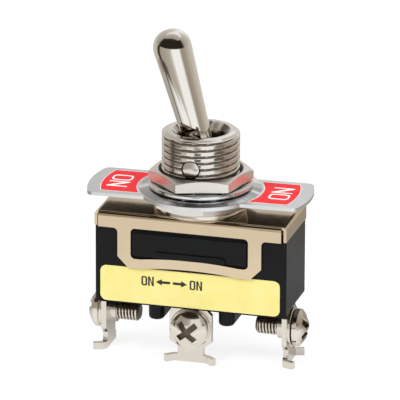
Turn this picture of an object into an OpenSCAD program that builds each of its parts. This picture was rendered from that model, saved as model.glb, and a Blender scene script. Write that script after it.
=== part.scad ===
// Panel toggle switch, single pole changeover (ON-ON), screw terminals.
// Millimetres, +Z up. The origin is on the bushing axis, at the foot of the terminals,
// on which the switch stands. Heights in the modules are drawn from the panel seat, the
// plane between the backing nut and the legend plate, and raised() lifts them all alike.
// The lever swings left and right, in the XZ plane. The screws and the label face -Y.

/* [Bushing] */
// Outside diameter of the bushing's thread
thread_d = 12; // [11:0.1:13]
// Height of the bushing above the panel seat
bushing_h = 9.45; // [8.5:0.05:12]
// Pitch of the thread's rings over the panel nut
thread_pitch = 1; // [0.8:0.05:1.5]
// Height of the first groove over the panel nut
groove_start = 0.42; // [0.38:0.01:0.46]
// Width of the groove between two rings
groove_w = 0.48; // [0.3:0.01:0.48]
// Depth of that groove
groove_depth = 0.4; // [0.2:0.05:0.45]
// Chamfer on the bushing's top edge
rim_chamfer = 0.35; // [0.2:0.05:0.5]
// Mouth diameter of the cone that the lever leans in
mouth_d = 8.9; // [8:0.1:9.6]
// Depth of that cone
mouth_depth = 2.2; // [1.6:0.1:2.6]
// Bore round the lever's pivot
bore_d = 6; // [5.8:0.1:6.4]
// Straight land of the bore below the pivot axis
bore_land = 1; // [0.6:0.1:1.4]
// Wall left round the bell at the bushing's foot
bell_wall = 1.05; // [0.9:0.05:1.2]
// Diameter of the collar that stands on the bracket
collar_d = 13.4; // [13:0.1:15]
// Height of the collar
collar_h = 0.65; // [0.4:0.05:1.2]
// Diameter of the riveted foot under the bracket
foot_d = 11.9; // [11.8:0.05:12]
// Height of the riveted foot
foot_h = 0.4; // [0.3:0.05:0.6]
// Width of the thread relief at the panel nut's mouth
relief_w = 0.6; // [0.55:0.05:0.8]
// Depth of that relief
relief_depth = 0.2; // [0.1:0.05:0.35]

/* [Pivot] */
// Height of the lever's pivot above the panel seat
pivot_h = 5.23; // [5.0:0.05:5.6]
// Diameter of the pivot pin
pin_d = 2.65; // [2.3:0.05:2.8]
// How far the pin's ends lie below the thread
pin_recess = 0.05; // [0:0.05:0.2]
// Countersink round each end of the pin
pin_sink = 0.2; // [0.1:0.05:0.3]

/* [Lever] */
// Lean of the lever from upright, to each side
lever_lean = 14.65; // [12:0.05:15]
// Distance from the pivot to the lever's tip
lever_reach = 20.75; // [18:0.05:30]
// Diameter of the bat handle's round end
tip_d = 5.95; // [5.4:0.05:6.6]
// Diameter of the handle where it enters the mouth
handle_d = 4.75; // [4.4:0.05:4.9]
// Height above the pivot at which the handle's taper begins
taper_start = 4.6; // [4:0.1:6]
// Thickness of the flat tongue that the pin passes through
tongue_t = 3.3; // [3.2:0.1:4]
// Height above the pivot at which the tongue's flats run out
flat_h = 3.7; // [3:0.1:4]
// Radius of the cutter that leaves that run-out
flat_r = 2.2; // [1.5:0.1:3]
// Depth below the pivot at which the tongue meets the round tail
tongue_depth = 1.9; // [1.8:0.1:2.4]
// Diameter of the tail that holds the plunger
tail_d = 4.6; // [4.4:0.1:4.8]

/* [Nuts and lock washer] */
// Width of both nuts across their flats
nut_af = 14; // [13.6:0.1:15]
// Thickness of each nut
nut_t = 1.85; // [1.6:0.05:3]
// Turn of the panel nut's front flat away from the switch's front
nut_turn = 17; // [0:1:59]
// Turn of the backing nut
backing_turn = 48; // [0:1:59]
// Outside diameter of the toothed lock washer
washer_d = 16; // [15.4:0.1:17]
// Inside diameter of its flat ring
washer_ring_d = 13.6; // [13.4:0.1:14]
// Thickness of its sheet
washer_t = 0.9; // [0.7:0.05:1]
// Number of its inner teeth
tooth_count = 10; // [6:1:12]
// Width of a tooth
tooth_w = 2.4; // [2:0.1:2.6]
// Twist of a tooth
tooth_twist = 17; // [10:1:20]

/* [Legend plate] */
// Diameter of the plate's middle disc
disc_d = 19.2; // [18:0.1:21]
// Radius of the wings' outer edge
wing_r = 17.35; // [16:0.05:19]
// Width of the wings
wing_w = 12; // [11:0.1:14]
// Turn of the plate on the bushing
plate_turn = 2; // [0:0.5:5]
// Corner radius of the wings
wing_corner_r = 1.2; // [0.5:0.1:2]
// Thickness of the plate
plate_t = 0.4; // [0.3:0.05:0.8]
// Inner radius of the red fields
field_in_r = 9.85; // [9.7:0.05:11]
// Outer radius of the red fields
field_out_r = 15.3; // [14:0.05:15.8]
// Width of the red fields
field_w = 9.5; // [8:0.1:10.6]
// Thickness of the enamel
enamel_t = 0.05; // [0.03:0.01:0.1]

/* [Bracket] */
// Length of the bracket over its end flanges
bracket_l = 30.3; // [30:0.1:34]
// Width of the bracket over its side flanges
bracket_w = 13; // [12.8:0.1:15]
// Thickness of its sheet
sheet_t = 0.45; // [0.4:0.05:0.6]
// Height of the flange all round
flange_h = 2.45; // [2.2:0.05:3]
// Outside radius of its bends
bend_r = 0.7; // [0.65:0.05:0.9]
// Width of the locking loop
loop_w = 22.7; // [21:0.1:24]
// Depth of the loop's foot below the bracket's top
loop_depth = 8.7; // [8.2:0.05:9]
// Width of the loop's window
window_w = 18.55; // [17:0.05:19]
// Depth of the window's head below the bracket's top
window_top = 2.3; // [2:0.05:2.4]
// Depth of the window's sill below the bracket's top
window_sill = 7.2; // [6.8:0.05:7.4]
// Chamfer on the loop's lower corners
loop_chamfer = 1.7; // [0.8:0.1:1.8]
// Rise of the loop's lower bar in its middle, where it is peened over the catch
bar_arch = 0.45; // [0.2:0.05:0.6]
// Length of the slit between two flanges at a corner
corner_slit = 0.25; // [0.1:0.05:0.5]
// Corner radius of the window
window_r = 0.7; // [0.2:0.05:0.8]

/* [Housing] */
// Depth of the housing's underside below the bracket's top
case_depth = 14.7; // [14.4:0.05:18]
// Radius of the housing's upright edges
case_edge_r = 0.5; // [0.3:0.1:1]
// Thickness of the housing's side walls
case_wall = 1.3; // [1.1:0.05:1.5]
// Distance of the barrier ribs from the middle
rib_x = 5.55; // [4.8:0.05:6.2]
// Width of the barrier ribs
rib_w = 2.5; // [2:0.1:3]
// Height of the barrier ribs
rib_h = 2.3; // [1:0.1:3]
// Round on the ribs' lower edge
rib_edge_r = 0.5; // [0.2:0.05:0.8]
// Gap between the window's head and the lug
lug_gap = 0.45; // [0.2:0.05:0.6]
// Gap between the window's sides and the lug
lug_side_gap = 0.3; // [0.15:0.05:0.5]
// Height that the lug in the loop's window stands proud
lug_proud = 0.42; // [0.3:0.01:0.44]
// Bevel along the lug's upper edge
lug_bevel = 0.3; // [0.1:0.05:0.4]
// Width of the catch under which the loop snaps
catch_w = 11.4; // [8:0.1:14]
// Height of the catch
catch_h = 0.95; // [0.7:0.05:1.5]
// Corner radius of the catch
catch_r = 0.7; // [0.3:0.05:0.9]
// How far the catch stands out over the lug
catch_proud = 0.3; // [0.1:0.05:0.5]
// Height of the step under each end of the housing
end_step_h = 0.55; // [0.2:0.05:1]

/* [Label] */
// Length of the label
label_l = 28.4; // [20:0.1:29]
// Height of the label
label_h = 5.7; // [4:0.05:5.8]
// Corner radius of the label
label_r = 1; // [0.5:0.1:2]
// Thickness of the label
label_t = 0.1; // [0.05:0.01:0.2]
// Margin under the label
label_margin = 0.25; // [0.1:0.05:0.8]

/* [Terminals] */
// Thickness of the terminals' brass
terminal_t = 0.8; // [0.7:0.05:1]
// Width of the middle terminal's eight-sided pad
middle_pad_w = 6.7; // [6.3:0.1:7.2]
// Width of the end terminals' pads
end_pad_w = 6; // [5.8:0.1:6.6]
// Height of the pads below the housing
pad_h = 6.2; // [6:0.1:7]
// Clipped corner of a pad
pad_clip = 0.9; // [0.5:0.05:1]
// Width of the neck below a pad
neck_w = 4.1; // [3.6:0.1:4.6]
// Height of the neck and the foot below a pad
neck_h = 2.5; // [2.2:0.1:4]
// Height of the wire tabs at a terminal's foot
tab_h = 1.1; // [0.8:0.1:1.6]
// Straight stretch of the foot between the neck and a tab's bend
tab_lead = 0.3; // [0.3:0.05:0.6]
// Inside radius of the tab's bend
tab_r = 0.25; // [0.2:0.05:0.6]
// Reach of an end terminal's wire tabs past the bend
end_tab_reach = 1.2; // [0.6:0.05:1.5]
// Angle that they are bent out of the plate
end_tab_angle = 72; // [40:1:85]
// Reach of the middle terminal's wire tabs past the bend
middle_tab_reach = 1.45; // [0.8:0.05:1.6]
// Angle that they are bent out of the plate
middle_tab_angle = 40; // [20:1:60]
// Diameter of the tapped collar drawn out of a pad's back
pad_collar_d = 3.8; // [3.6:0.05:4.4]
// Length of that collar
pad_collar_l = 1.1; // [0.6:0.05:1.4]
// Inset of the end terminals' outer face from the bracket's end
end_inset = 0.4; // [0.35:0.05:0.5]
// Place of the end terminals along Y
end_y = -0.8; // [-1:0.1:0]
// Inset of the middle terminal's outer face from the bracket's side
middle_inset = 0.95; // [0.9:0.05:1]
// Width of the terminals' stems inside the housing
stem_w = 4.4; // [3.6:0.1:5]

/* [Terminal screws] */
// Thread diameter of the terminal screws
screw_d = 3; // [2.6:0.1:3]
// Length of a screw under its head
screw_l = 6; // [5.5:0.1:7]
// Diameter of a screw's pan head
head_d = 5.6; // [5:0.1:5.7]
// Height of a screw's head
head_h = 2.05; // [1.8:0.05:2.4]
// Height of the head's upright rim
head_rim = 1.1; // [0.8:0.05:1.2]
// Width of the cross recess and of the slot
recess_w = 0.8; // [0.6:0.05:1]
// Length of the cross recess
recess_l = 3.3; // [2.6:0.1:4]
// Depth of the cross recess
recess_depth = 1.2; // [0.8:0.05:1.4]
// Depth of the slot
slot_depth = 0.85; // [0.5:0.05:0.9]
// Turn of the recess
recess_turn = 40; // [0:1:90]
// Outside diameter of the captive washers
captive_d = 5.9; // [5.6:0.1:6]
// Thickness of the captive washers
captive_t = 0.55; // [0.4:0.05:0.7]

/* [Mechanism] */
// Depth of the rocker's pin below the bracket's top
rocker_pin_depth = 7; // [6.8:0.05:7.4]
// Radius of the rocker's pin
rocker_pin_r = 0.8; // [0.6:0.05:0.9]
// Wall of the rolled eye round that pin
eye_wall = 0.65; // [0.5:0.05:0.8]
// Thickness of the rocker's strip
rocker_t = 0.8; // [0.6:0.05:0.9]
// Width of the rocker's strip
rocker_w = 4; // [3.4:0.1:4.4]
// Half length of the rocker
rocker_reach = 10.9; // [10.4:0.1:11.4]
// Distance from the middle at which the rocker's arms bend
rocker_bend_x = 4.2; // [3.8:0.1:4.6]
// Rise of the rocker's inner arms
rocker_rise = 17; // [15:0.5:19]
// Tilt of the rocker to each side
rocker_tilt = 7; // [6:0.25:7]
// Diameter of the silver contacts
contact_d = 3; // [2.4:0.1:3.4]
// Height of each silver contact
contact_h = 0.5; // [0.3:0.05:0.7]
// Distance of the contacts from the middle
contact_x = 9.2; // [8.6:0.1:9.4]
// Diameter of the plunger
plunger_d = 2.6; // [2.2:0.05:2.8]
// Length of the plunger that stands out of the tail
plunger_out = 2.4; // [2.1:0.05:2.8]
// Length of the plunger inside the tail
plunger_in = 3; // [2:0.1:3.4]
// Depth below the pivot at which the tail's bore ends
spring_seat = 2.4; // [2.2:0.1:3]
// Wire of the plunger's spring
wire_d = 0.36; // [0.25:0.01:0.45]
// Turns of the plunger's spring
spring_turns = 6; // [4:1:7]
// Thickness of the cradle's sheet
cradle_t = 0.7; // [0.5:0.05:0.8]
// Thickness of the insulating card under the bracket
card_t = 0.4; // [0.4:0.05:0.6]

/* [Clearances] */
// Running clearance of a pin in its bore
run_gap = 0.04; // [0.02:0.01:0.08]
// Gap round a piece that slides in or lies on another
fit_gap = 0.05; // [0.03:0.01:0.1]
// Gap between the plunger and the rocker, and between closed contacts
touch_gap = 0.03; // [0.02:0.01:0.06]

/* [Hidden] */
$fn = 64;
tiny = 0.01;
// heights of the stack above the panel seat
washer_h = tooth_w * sin(tooth_twist) + washer_t * cos(tooth_twist);
nut_z = plate_t + washer_h;
nut_sink = 0.3;
// heights below it
bracket_z = -nut_t - collar_h;
card_z = bracket_z - sheet_t - foot_h;
case_top = card_z - card_t;
case_z = bracket_z - case_depth;
// outlines of the bracket's inside and of the housing
inner_l = bracket_l - 2 * sheet_t;
inner_w = bracket_w - 2 * sheet_t;
end_face_x = bracket_l / 2 - end_inset;
middle_face_y = bracket_w / 2 - middle_inset;
case_l = bracket_l - 2 * fit_gap;
case_w = inner_w - 2 * fit_gap;
cavity_w = case_w - 2 * case_wall;
// the bell in the bushing's foot clears the tail at full lean
bell_r = thread_d / 2 - bell_wall;
foot_hole_d = thread_d - 0.6;
// the rocker, in its own frame: its pin at the origin, arms level to each side
rocker_z = bracket_z - rocker_pin_depth;
eye_r = rocker_pin_r + run_gap + eye_wall;
strip_z = rocker_pin_r + run_gap;
rise_z = rocker_bend_x * tan(rocker_rise);
// for a wing that slopes up at an angle, the level at x of its upper face
apex_z = strip_z + rocker_t;
// the longest reach of the plunger's round end that clears both wings at every lever angle
function reach_at(u) = let (
    lean = u * lever_lean,
    tilt = u * rocker_tilt,
    slope = rocker_rise - tilt,
    apex = [apex_z * sin(tilt), rocker_z + apex_z * cos(tilt)],
    n = [-sin(slope), cos(slope)],
    from_apex = [0 - apex[0], pivot_h - apex[1]],
    d = [sin(lean), -cos(lean)])
    (n * from_apex - plunger_d / 2 - touch_gap) / -(n * d);
plunger_reach = min([for (i = [-10:10]) reach_at(i / 10)]);
tail_end = plunger_reach + plunger_d / 2 - plunger_out;
plunger_top = tail_end - plunger_in;
tail_bore_d = plunger_d + 2 * fit_gap;
// the contacts meet with the outer arms level
arm_z = rocker_z - rocker_bend_x * sin(rocker_tilt)
    + (rise_z + strip_z) * cos(rocker_tilt);
rivet_run = contact_x - rocker_bend_x * cos(rocker_tilt) - (rise_z + strip_z) * sin(rocker_tilt);
shelf_z = arm_z - 2 * contact_h - touch_gap - terminal_t;
common_z = case_z + 2.1;
seat_z = pad_h + neck_h - case_z;
// the rocker swings inside this half length
cavity_l = 2 * (rocker_reach + 1.2);
clear = 2 * fit_gap;

// ---------- shapes that repeat ----------

// lifts what is drawn from the panel seat, so that the terminals stand at z = 0
module raised() { translate([0, 0, seat_z]) children(); }

// rectangle with round corners, centred
module round_rect(size, r) {
    square([size[0] - 2 * r, size[1]], center = true);
    square([size[0], size[1] - 2 * r], center = true);
    for (x = [-1, 1], y = [-1, 1])
        translate([x * (size[0] / 2 - r), y * (size[1] / 2 - r)]) circle(r);
}

// what a fillet adds in an inside corner at the origin, towards +x and +y
module fillet(r) {
    difference() {
        square(r);
        translate([r, r]) circle(r);
    }
}

// lays a drawing of x and z upright: it is extruded towards -y from y = 0
module upright(depth) {
    rotate([90, 0, 0]) linear_extrude(depth) children();
}

// hexagon nut, chamfered and countersunk on its upper side
module nut(bore_r) {
    corner_r = nut_af / 2 / cos(30);
    difference() {
        intersection() {
            cylinder(h = nut_t, r = corner_r, $fn = 6);
            rotate_extrude()
                polygon([[0, 0], [corner_r, 0], [corner_r, nut_t - (corner_r - nut_af / 2) * tan(30)],
                         [nut_af / 2 - 0.15, nut_t + 0.15 * tan(30)], [0, nut_t + 0.15 * tan(30)]]);
            translate([0, 0, nut_t / 2]) cube([4 * nut_af, 4 * nut_af, nut_t], center = true);
        }
        translate([0, 0, -1]) cylinder(h = nut_t + 2, r = bore_r);
        translate([0, 0, nut_t - nut_sink])
            cylinder(h = nut_sink + tiny, r1 = bore_r, r2 = bore_r + nut_sink + tiny);
    }
}

// a terminal below the housing: outer face at y = 0, pad, neck and two bent wire tabs
module terminal_blade(pad_w, tab_angle, tab_reach) {
    neck_z = -pad_h - neck_h;
    difference() {
        union() {
            translate([0, terminal_t, 0]) upright(terminal_t) {
                polygon([[-pad_w / 2 + pad_clip, 0], [-pad_w / 2, -pad_clip],
                         [-pad_w / 2, -pad_h + pad_clip], [-neck_w / 2, -pad_h],
                         [-neck_w / 2, neck_z], [neck_w / 2, neck_z],
                         [neck_w / 2, -pad_h], [pad_w / 2, -pad_h + pad_clip],
                         [pad_w / 2, -pad_clip], [pad_w / 2 - pad_clip, 0]]);
                translate([-neck_w / 2 - tab_lead, neck_z]) square([neck_w + 2 * tab_lead, tab_h]);
                for (s = [0, 1]) mirror([s, 0])
                    translate([neck_w / 2, neck_z + tab_h]) fillet(tab_lead - fit_gap);
            }
            for (s = [0, 1]) mirror([s, 0, 0]) wire_tab(neck_z, tab_angle, tab_reach);
            translate([0, terminal_t - tiny, -pad_h / 2]) rotate([-90, 0, 0])
                cylinder(h = pad_collar_l + tiny, r = pad_collar_d / 2);
        }
        translate([0, -1, -pad_h / 2]) rotate([-90, 0, 0])
            cylinder(h = terminal_t + pad_collar_l + 2, r = screw_d / 2 + run_gap);
    }
}

// one tab: an arc and a straight end, bent towards -y
module wire_tab(z, angle, reach) {
    translate([neck_w / 2 + tab_lead - tiny, -tab_r, z]) {
        rotate([0, 0, 90 - angle])
            rotate_extrude(angle = angle) translate([tab_r, 0]) square([terminal_t, tab_h]);
        rotate([0, 0, -angle]) translate([0, tab_r, 0]) cube([reach, terminal_t, tab_h]);
    }
}

// pan head screw along +y, head outward: the head's seat is at y = 0
module terminal_screw() {
    dome_r = (pow(head_d / 2, 2) + pow(head_h - head_rim, 2)) / (2 * (head_h - head_rim));
    rotate([90, 0, 0]) {
        difference() {
            union() {
                intersection() {
                    cylinder(h = head_h, r = head_d / 2);
                    translate([0, 0, head_h - dome_r]) sphere(dome_r);
                }
            }
            for (a = [0, 90]) rotate([0, 0, recess_turn + a])
                translate([0, 0, head_h - recess_depth / 2 + tiny])
                    cube([recess_l, recess_w, recess_depth + 2 * tiny], center = true);
            rotate([0, 0, recess_turn + 90])
                translate([0, 0, head_h]) cube([2 * head_d, recess_w, 2 * slot_depth], center = true);
        }
        difference() {
            translate([0, 0, -screw_l]) cylinder(h = screw_l, r = screw_d / 2);
            translate([0, 0, -screw_l - tiny]) difference() {
                cylinder(h = 0.4, r = screw_d);
                cylinder(h = 0.4, r1 = screw_d / 2 - 0.4, r2 = screw_d / 2);
            }
        }
    }
}

module captive_washer() {
    rotate([90, 0, 0]) difference() {
        cylinder(h = captive_t, r = captive_d / 2);
        translate([0, 0, -1]) cylinder(h = captive_t + 2, r = screw_d / 2 + run_gap);
    }
}

// places for the three terminals: face, turn and pad width
module at_left() { translate([-end_face_x, end_y, case_z]) rotate([0, 0, -90]) children(); }
module at_right() { translate([end_face_x, end_y, case_z]) rotate([0, 0, 90]) children(); }
module at_common() { translate([0, -middle_face_y, case_z]) children(); }
module on_pad() { translate([0, 0, -pad_h / 2]) children(); }
module on_captive() { translate([0, -captive_t, -pad_h / 2]) children(); }

// ---------- lever and its pivot ----------

// everything that swings with the lever is drawn upright, with the pivot at the origin
module leaning() {
    translate([0, 0, pivot_h]) rotate([0, -lever_lean, 0]) children();
}

module toggle_lever() {
    ball_z = lever_reach - tip_d / 2;
    color("silver") raised() leaning() difference() {
        rotate_extrude() difference() {
            union() {
                polygon([[0, -tail_end], [tail_d / 2 - 0.2, -tail_end], [tail_d / 2, -tail_end + 0.2],
                         [tail_d / 2, pin_d / 2 + 0.3], [handle_d / 2, pin_d / 2 + 0.8],
                         [handle_d / 2, taper_start],
                         [tip_d / 2, ball_z], [0, ball_z]]);
                translate([0, ball_z]) intersection() {
                    circle(tip_d / 2);
                    square(tip_d);
                }
            }
            translate([-1, -tail_end - 1]) square([1 + tail_bore_d / 2, tail_end + 1 - spring_seat]);
        }
        // the two flats of the tongue, with the cutter's run-out at the top
        for (s = [0, 1]) mirror([0, s, 0]) rotate([90, 0, 90])
            translate([tongue_t / 2, 0, -tip_d]) linear_extrude(2 * tip_d) difference() {
                translate([0, -tongue_depth]) square([tip_d, tongue_depth + flat_h + flat_r]);
                translate([0, flat_h + flat_r]) mirror([0, 1]) fillet(flat_r);
            }
        rotate([90, 0, 0]) cylinder(h = 2 * tip_d, r = pin_d / 2 + run_gap, center = true);
    }
}

module pivot_pin() {
    // its ends are rounded with the thread, so the panel nut passes them
    color("gainsboro") raised() intersection() {
        translate([0, 0, pivot_h]) rotate([90, 0, 0]) cylinder(h = thread_d, r = pin_d / 2, center = true);
        cylinder(h = 2 * pivot_h, r = thread_d / 2 - pin_recess);
    }
}

// the grooves of the thread's free stretch, above the panel nut
module thread_grooves() {
    r = thread_d / 2;
    low = nut_z + nut_t;
    count = floor((bushing_h - rim_chamfer - low - groove_start - groove_w / 2) / thread_pitch);
    for (i = [0:count]) translate([0, low + groove_start + i * thread_pitch])
        polygon([[r + tiny, -groove_w / 2], [r + tiny, groove_w / 2],
                 [r - groove_depth, groove_w / 10], [r - groove_depth, -groove_w / 10]]);
}

module bushing() {
    r = thread_d / 2;
    relief_z = nut_z + nut_t - relief_w;
    color("silver") raised() difference() {
        rotate_extrude() difference() {
            union() {
                translate([0, bracket_z]) square([collar_d / 2, collar_h]);
                polygon([[0, bracket_z], [r, bracket_z], [r, relief_z], [r - relief_depth, relief_z],
                         [r - relief_depth, relief_z + relief_w], [r, relief_z + relief_w],
                         [r, bushing_h - rim_chamfer], [r - rim_chamfer, bushing_h], [0, bushing_h]]);
                translate([0, card_z]) square([foot_hole_d / 2, bracket_z - card_z]);
                translate([0, card_z]) square([foot_d / 2, foot_h]);
            }
            // cone mouth, bore and bell
            polygon([[-1, bushing_h + 1], [mouth_d / 2 + tan(32), bushing_h + 1],
                     [mouth_d / 2, bushing_h], [bore_d / 2, bushing_h - mouth_depth],
                     [bore_d / 2, pivot_h - bore_land], [bell_r, bracket_z],
                     [bell_r, card_z - 1], [-1, card_z - 1]]);
            thread_grooves();
        }
        translate([0, 0, pivot_h]) rotate([90, 0, 0])
            cylinder(h = 2 * thread_d, r = pin_d / 2, center = true);
        for (s = [0, 180]) rotate([0, 0, s]) translate([0, -r - tiny, pivot_h]) rotate([-90, 0, 0])
            cylinder(h = pin_sink + tiny, r1 = pin_d / 2 + pin_sink + tiny, r2 = pin_d / 2);
    }
}

// ---------- panel hardware ----------

module panel_nut() {
    color("lightgray") raised() translate([0, 0, nut_z]) rotate([0, 0, nut_turn]) nut(thread_d / 2 + run_gap);
}

module backing_nut() {
    color("lightgray") raised() translate([0, 0, -nut_t]) rotate([0, 0, backing_turn])
        nut(thread_d / 2 + run_gap);
}

// internal-tooth lock washer: a flat ring with twisted teeth that reach in to the thread
module lock_washer() {
    tooth_in = thread_d / 2 + fit_gap + 0.1;
    color("gainsboro") raised() translate([0, 0, plate_t + washer_h / 2]) difference() {
        union() {
            difference() {
                cylinder(h = washer_t, r = washer_d / 2, center = true);
                cylinder(h = 2 * washer_t, r = washer_ring_d / 2, center = true);
            }
            for (i = [0:tooth_count - 1]) rotate([0, 0, (i + 0.5) * 360 / tooth_count])
                translate([tooth_in + (washer_ring_d / 2 + 0.3 - tooth_in) / 2, 0, 0])
                    rotate([tooth_twist, 0, 0])
                        cube([washer_ring_d / 2 + 0.3 - tooth_in, tooth_w, washer_t], center = true);
        }
        cylinder(h = 4 * washer_h, r = tooth_in, center = true);
    }
}

module legend_plate() {
    corner_y = wing_w / 2 - wing_corner_r;
    corner_x = sqrt(pow(wing_r - wing_corner_r, 2) - pow(corner_y, 2));
    color("lightgray") raised() rotate([0, 0, plate_turn]) linear_extrude(plate_t) difference() {
        union() {
            circle(disc_d / 2);
            square([2 * corner_x, wing_w], center = true);
            for (x = [-1, 1]) {
                intersection() {
                    circle(wing_r);
                    polygon([[0, 0], [2 * x * corner_x, 2 * corner_y], [2 * x * corner_x, -2 * corner_y]]);
                }
                for (y = [-1, 1]) translate([x * corner_x, y * corner_y]) circle(wing_corner_r);
            }
        }
        circle(thread_d / 2 + fit_gap);
    }
}

module red_fields() {
    color("crimson") raised() rotate([0, 0, plate_turn]) translate([0, 0, plate_t])
        linear_extrude(enamel_t) difference() {
            intersection() {
                circle(field_out_r);
                square([4 * field_out_r, field_w], center = true);
            }
            circle(field_in_r);
        }
}

// ---------- bracket, card, housing and label ----------

// cross section of the sheet over a span: top, two bends and two flanges
module bent_section(span, drop) {
    difference() {
        union() {
            translate([-span / 2 + bend_r, -drop]) square([span - 2 * bend_r, drop]);
            translate([-span / 2, -drop]) square([span, drop - bend_r]);
            for (s = [-1, 1]) translate([s * (span / 2 - bend_r), -bend_r]) circle(bend_r);
        }
        translate([0, -drop - 1]) {
            translate([-span / 2 + sheet_t, 0]) square([span - 2 * sheet_t, drop + 1 - bend_r]);
            translate([-span / 2 + bend_r, 0]) square([span - 2 * bend_r, drop + 1 - sheet_t]);
            for (s = [-1, 1]) translate([s * (span / 2 - bend_r), drop + 1 - bend_r])
                circle(bend_r - sheet_t);
        }
    }
}

// the loop as drawn on the bracket's side: x along, y down from the bracket's top
module loop_outline() {
    half = loop_w / 2;
    difference() {
        union() {
            polygon([[-half, -flange_h + tiny], [-half, -loop_depth + loop_chamfer],
                     [-half + loop_chamfer, -loop_depth], [half - loop_chamfer, -loop_depth],
                     [half, -loop_depth + loop_chamfer], [half, -flange_h + tiny]]);
            for (s = [0, 1]) mirror([s, 0]) translate([half, -flange_h]) mirror([0, 1]) fillet(window_r);
        }
        window();
        translate([0, -loop_depth]) bar_arc();
    }
}

// the window, with its sill arched by the bar
module window() {
    difference() {
        translate([0, -(window_top + window_sill) / 2])
            round_rect([window_w, window_sill - window_top], window_r);
        translate([0, -window_sill]) bar_arc();
    }
}

// a disc whose top rises bar_arch above the origin
module bar_arc() {
    half = window_w / 2 - 1.5;
    r = (half * half + bar_arch * bar_arch) / (2 * bar_arch);
    translate([0, bar_arch - r]) circle(r, $fn = 360);
}

module bracket() {
    flap = bracket_l - 2 * sheet_t - 2 * corner_slit;
    color("tan") raised() translate([0, 0, bracket_z]) difference() {
        union() {
            rotate([90, 0, 90]) translate([0, 0, -flap / 2]) linear_extrude(flap)
                bent_section(bracket_w, flange_h);
            translate([0, inner_w / 2 - fit_gap, 0]) upright(inner_w - clear)
                bent_section(bracket_l, flange_h);
            for (s = [0, 1]) mirror([0, s, 0]) translate([0, -bracket_w / 2 + sheet_t, 0])
                upright(sheet_t) loop_outline();
        }
        translate([0, 0, -2 * sheet_t]) cylinder(h = 4 * sheet_t, r = foot_hole_d / 2);
        // the windows cut up into the side flanges
        translate([0, bracket_w, 0]) upright(2 * bracket_w) window();
    }
}

module insulating_card() {
    color("saddlebrown") raised() translate([0, 0, case_top]) difference() {
        linear_extrude(card_t)
            square([inner_l - 2 * clear, inner_w - 2 * clear], center = true);
        translate([0, 0, -1]) cylinder(h = card_t + 2, r = bell_r);
    }
}

// the lug that fills the loop's window, and the catch that locks the loop's lower bar
module lug() {
    lug_l = window_w - 2 * lug_side_gap;
    top = bracket_z - window_top - lug_gap;
    sill = bracket_z - window_sill + bar_arch + fit_gap;
    rotate([90, 0, 90]) translate([0, 0, -lug_l / 2]) linear_extrude(lug_l)
        polygon([[-case_w / 2 + 0.5, sill], [-case_w / 2 - lug_proud, sill],
                 [-case_w / 2 - lug_proud, top - lug_bevel],
                 [-case_w / 2 - lug_proud + lug_bevel, top], [-case_w / 2 + 0.5, top]]);
    translate([0, -case_w / 2 - lug_proud + tiny, sill]) upright(catch_proud + tiny) difference() {
        round_rect([catch_w, 2 * catch_h], catch_r);
        translate([-catch_w, -2 * catch_h]) square([2 * catch_w, 2 * catch_h]);
    }
}

// a barrier rib under the housing: half-round ends and a rounded lower edge
module rib() {
    straight = case_w - rib_w;
    for (s = [-1, 1]) translate([0, s * straight / 2, 0]) rotate_extrude() rib_section();
    translate([0, straight / 2, 0]) upright(straight) {
        rib_section();
        mirror([1, 0]) rib_section();
    }
}

// half of a rib's cross section
module rib_section() {
    difference() {
        translate([0, -rib_h]) square([rib_w / 2, rib_h + fit_gap]);
        translate([rib_w / 2, -rib_h]) mirror([1, 0]) fillet(rib_edge_r);
    }
}

module housing() {
    slot_t = terminal_t + clear;
    shelf_x = contact_x - contact_d / 2 - 1;
    // how far the cuts for the shelves run in, through the wall
    inward = 3 * case_wall;
    color([0.12, 0.12, 0.13]) raised() difference() {
        union() {
            // body, and its narrower head inside the bracket
            translate([0, 0, case_z]) linear_extrude(bracket_z - flange_h - fit_gap - case_z)
                round_rect([case_l, case_w], case_edge_r);
            translate([0, 0, case_z]) linear_extrude(case_top - case_z)
                round_rect([inner_l - 2 * clear, case_w], case_edge_r);
            for (s = [0, 1]) mirror([0, s, 0]) lug();
            // barrier ribs between the terminals
            for (s = [-1, 1]) translate([s * rib_x, 0, case_z]) rib();
        }
        // room for the rocker, then the well for its cradle
        translate([-cavity_l / 2, -cavity_w / 2, shelf_z]) cube([cavity_l, cavity_w, case_depth]);
        translate([-shelf_x, -cavity_w / 2, common_z]) cube([2 * shelf_x, cavity_w, case_depth]);
        // slots for the stems, up to the shelves
        for (s = [-1, 1]) translate([s * (end_face_x - terminal_t / 2), end_y, case_z]) {
            translate([-slot_t / 2, -stem_w / 2 - fit_gap, -1])
                cube([slot_t, stem_w + clear, shelf_z + terminal_t + fit_gap - case_z + 1]);
            translate([s > 0 ? -inward : 0, -stem_w / 2 - fit_gap, shelf_z - case_z])
                cube([inward, stem_w + clear, terminal_t + fit_gap]);
        }
        translate([-stem_w / 2 - fit_gap, -middle_face_y - fit_gap, case_z - 1]) {
            cube([stem_w + clear, slot_t, common_z + terminal_t + fit_gap - case_z + 1]);
            translate([0, 0, common_z - case_z + 1])
                cube([stem_w + clear, inward, terminal_t + fit_gap]);
        }
        // the step under each end
        for (s = [-1, 1]) translate([s * case_l / 2, 0, case_z])
            translate([-1.4, end_y - stem_w / 2 - 0.3, -tiny]) cube([2.8, case_w, end_step_h + tiny]);
    }
}

module label() {
    color("khaki") raised() translate([0, -case_w / 2, case_z + label_margin + label_h / 2])
        upright(label_t) round_rect([label_l, label_h], label_r);
}

// ---------- terminals and their screws ----------

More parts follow.
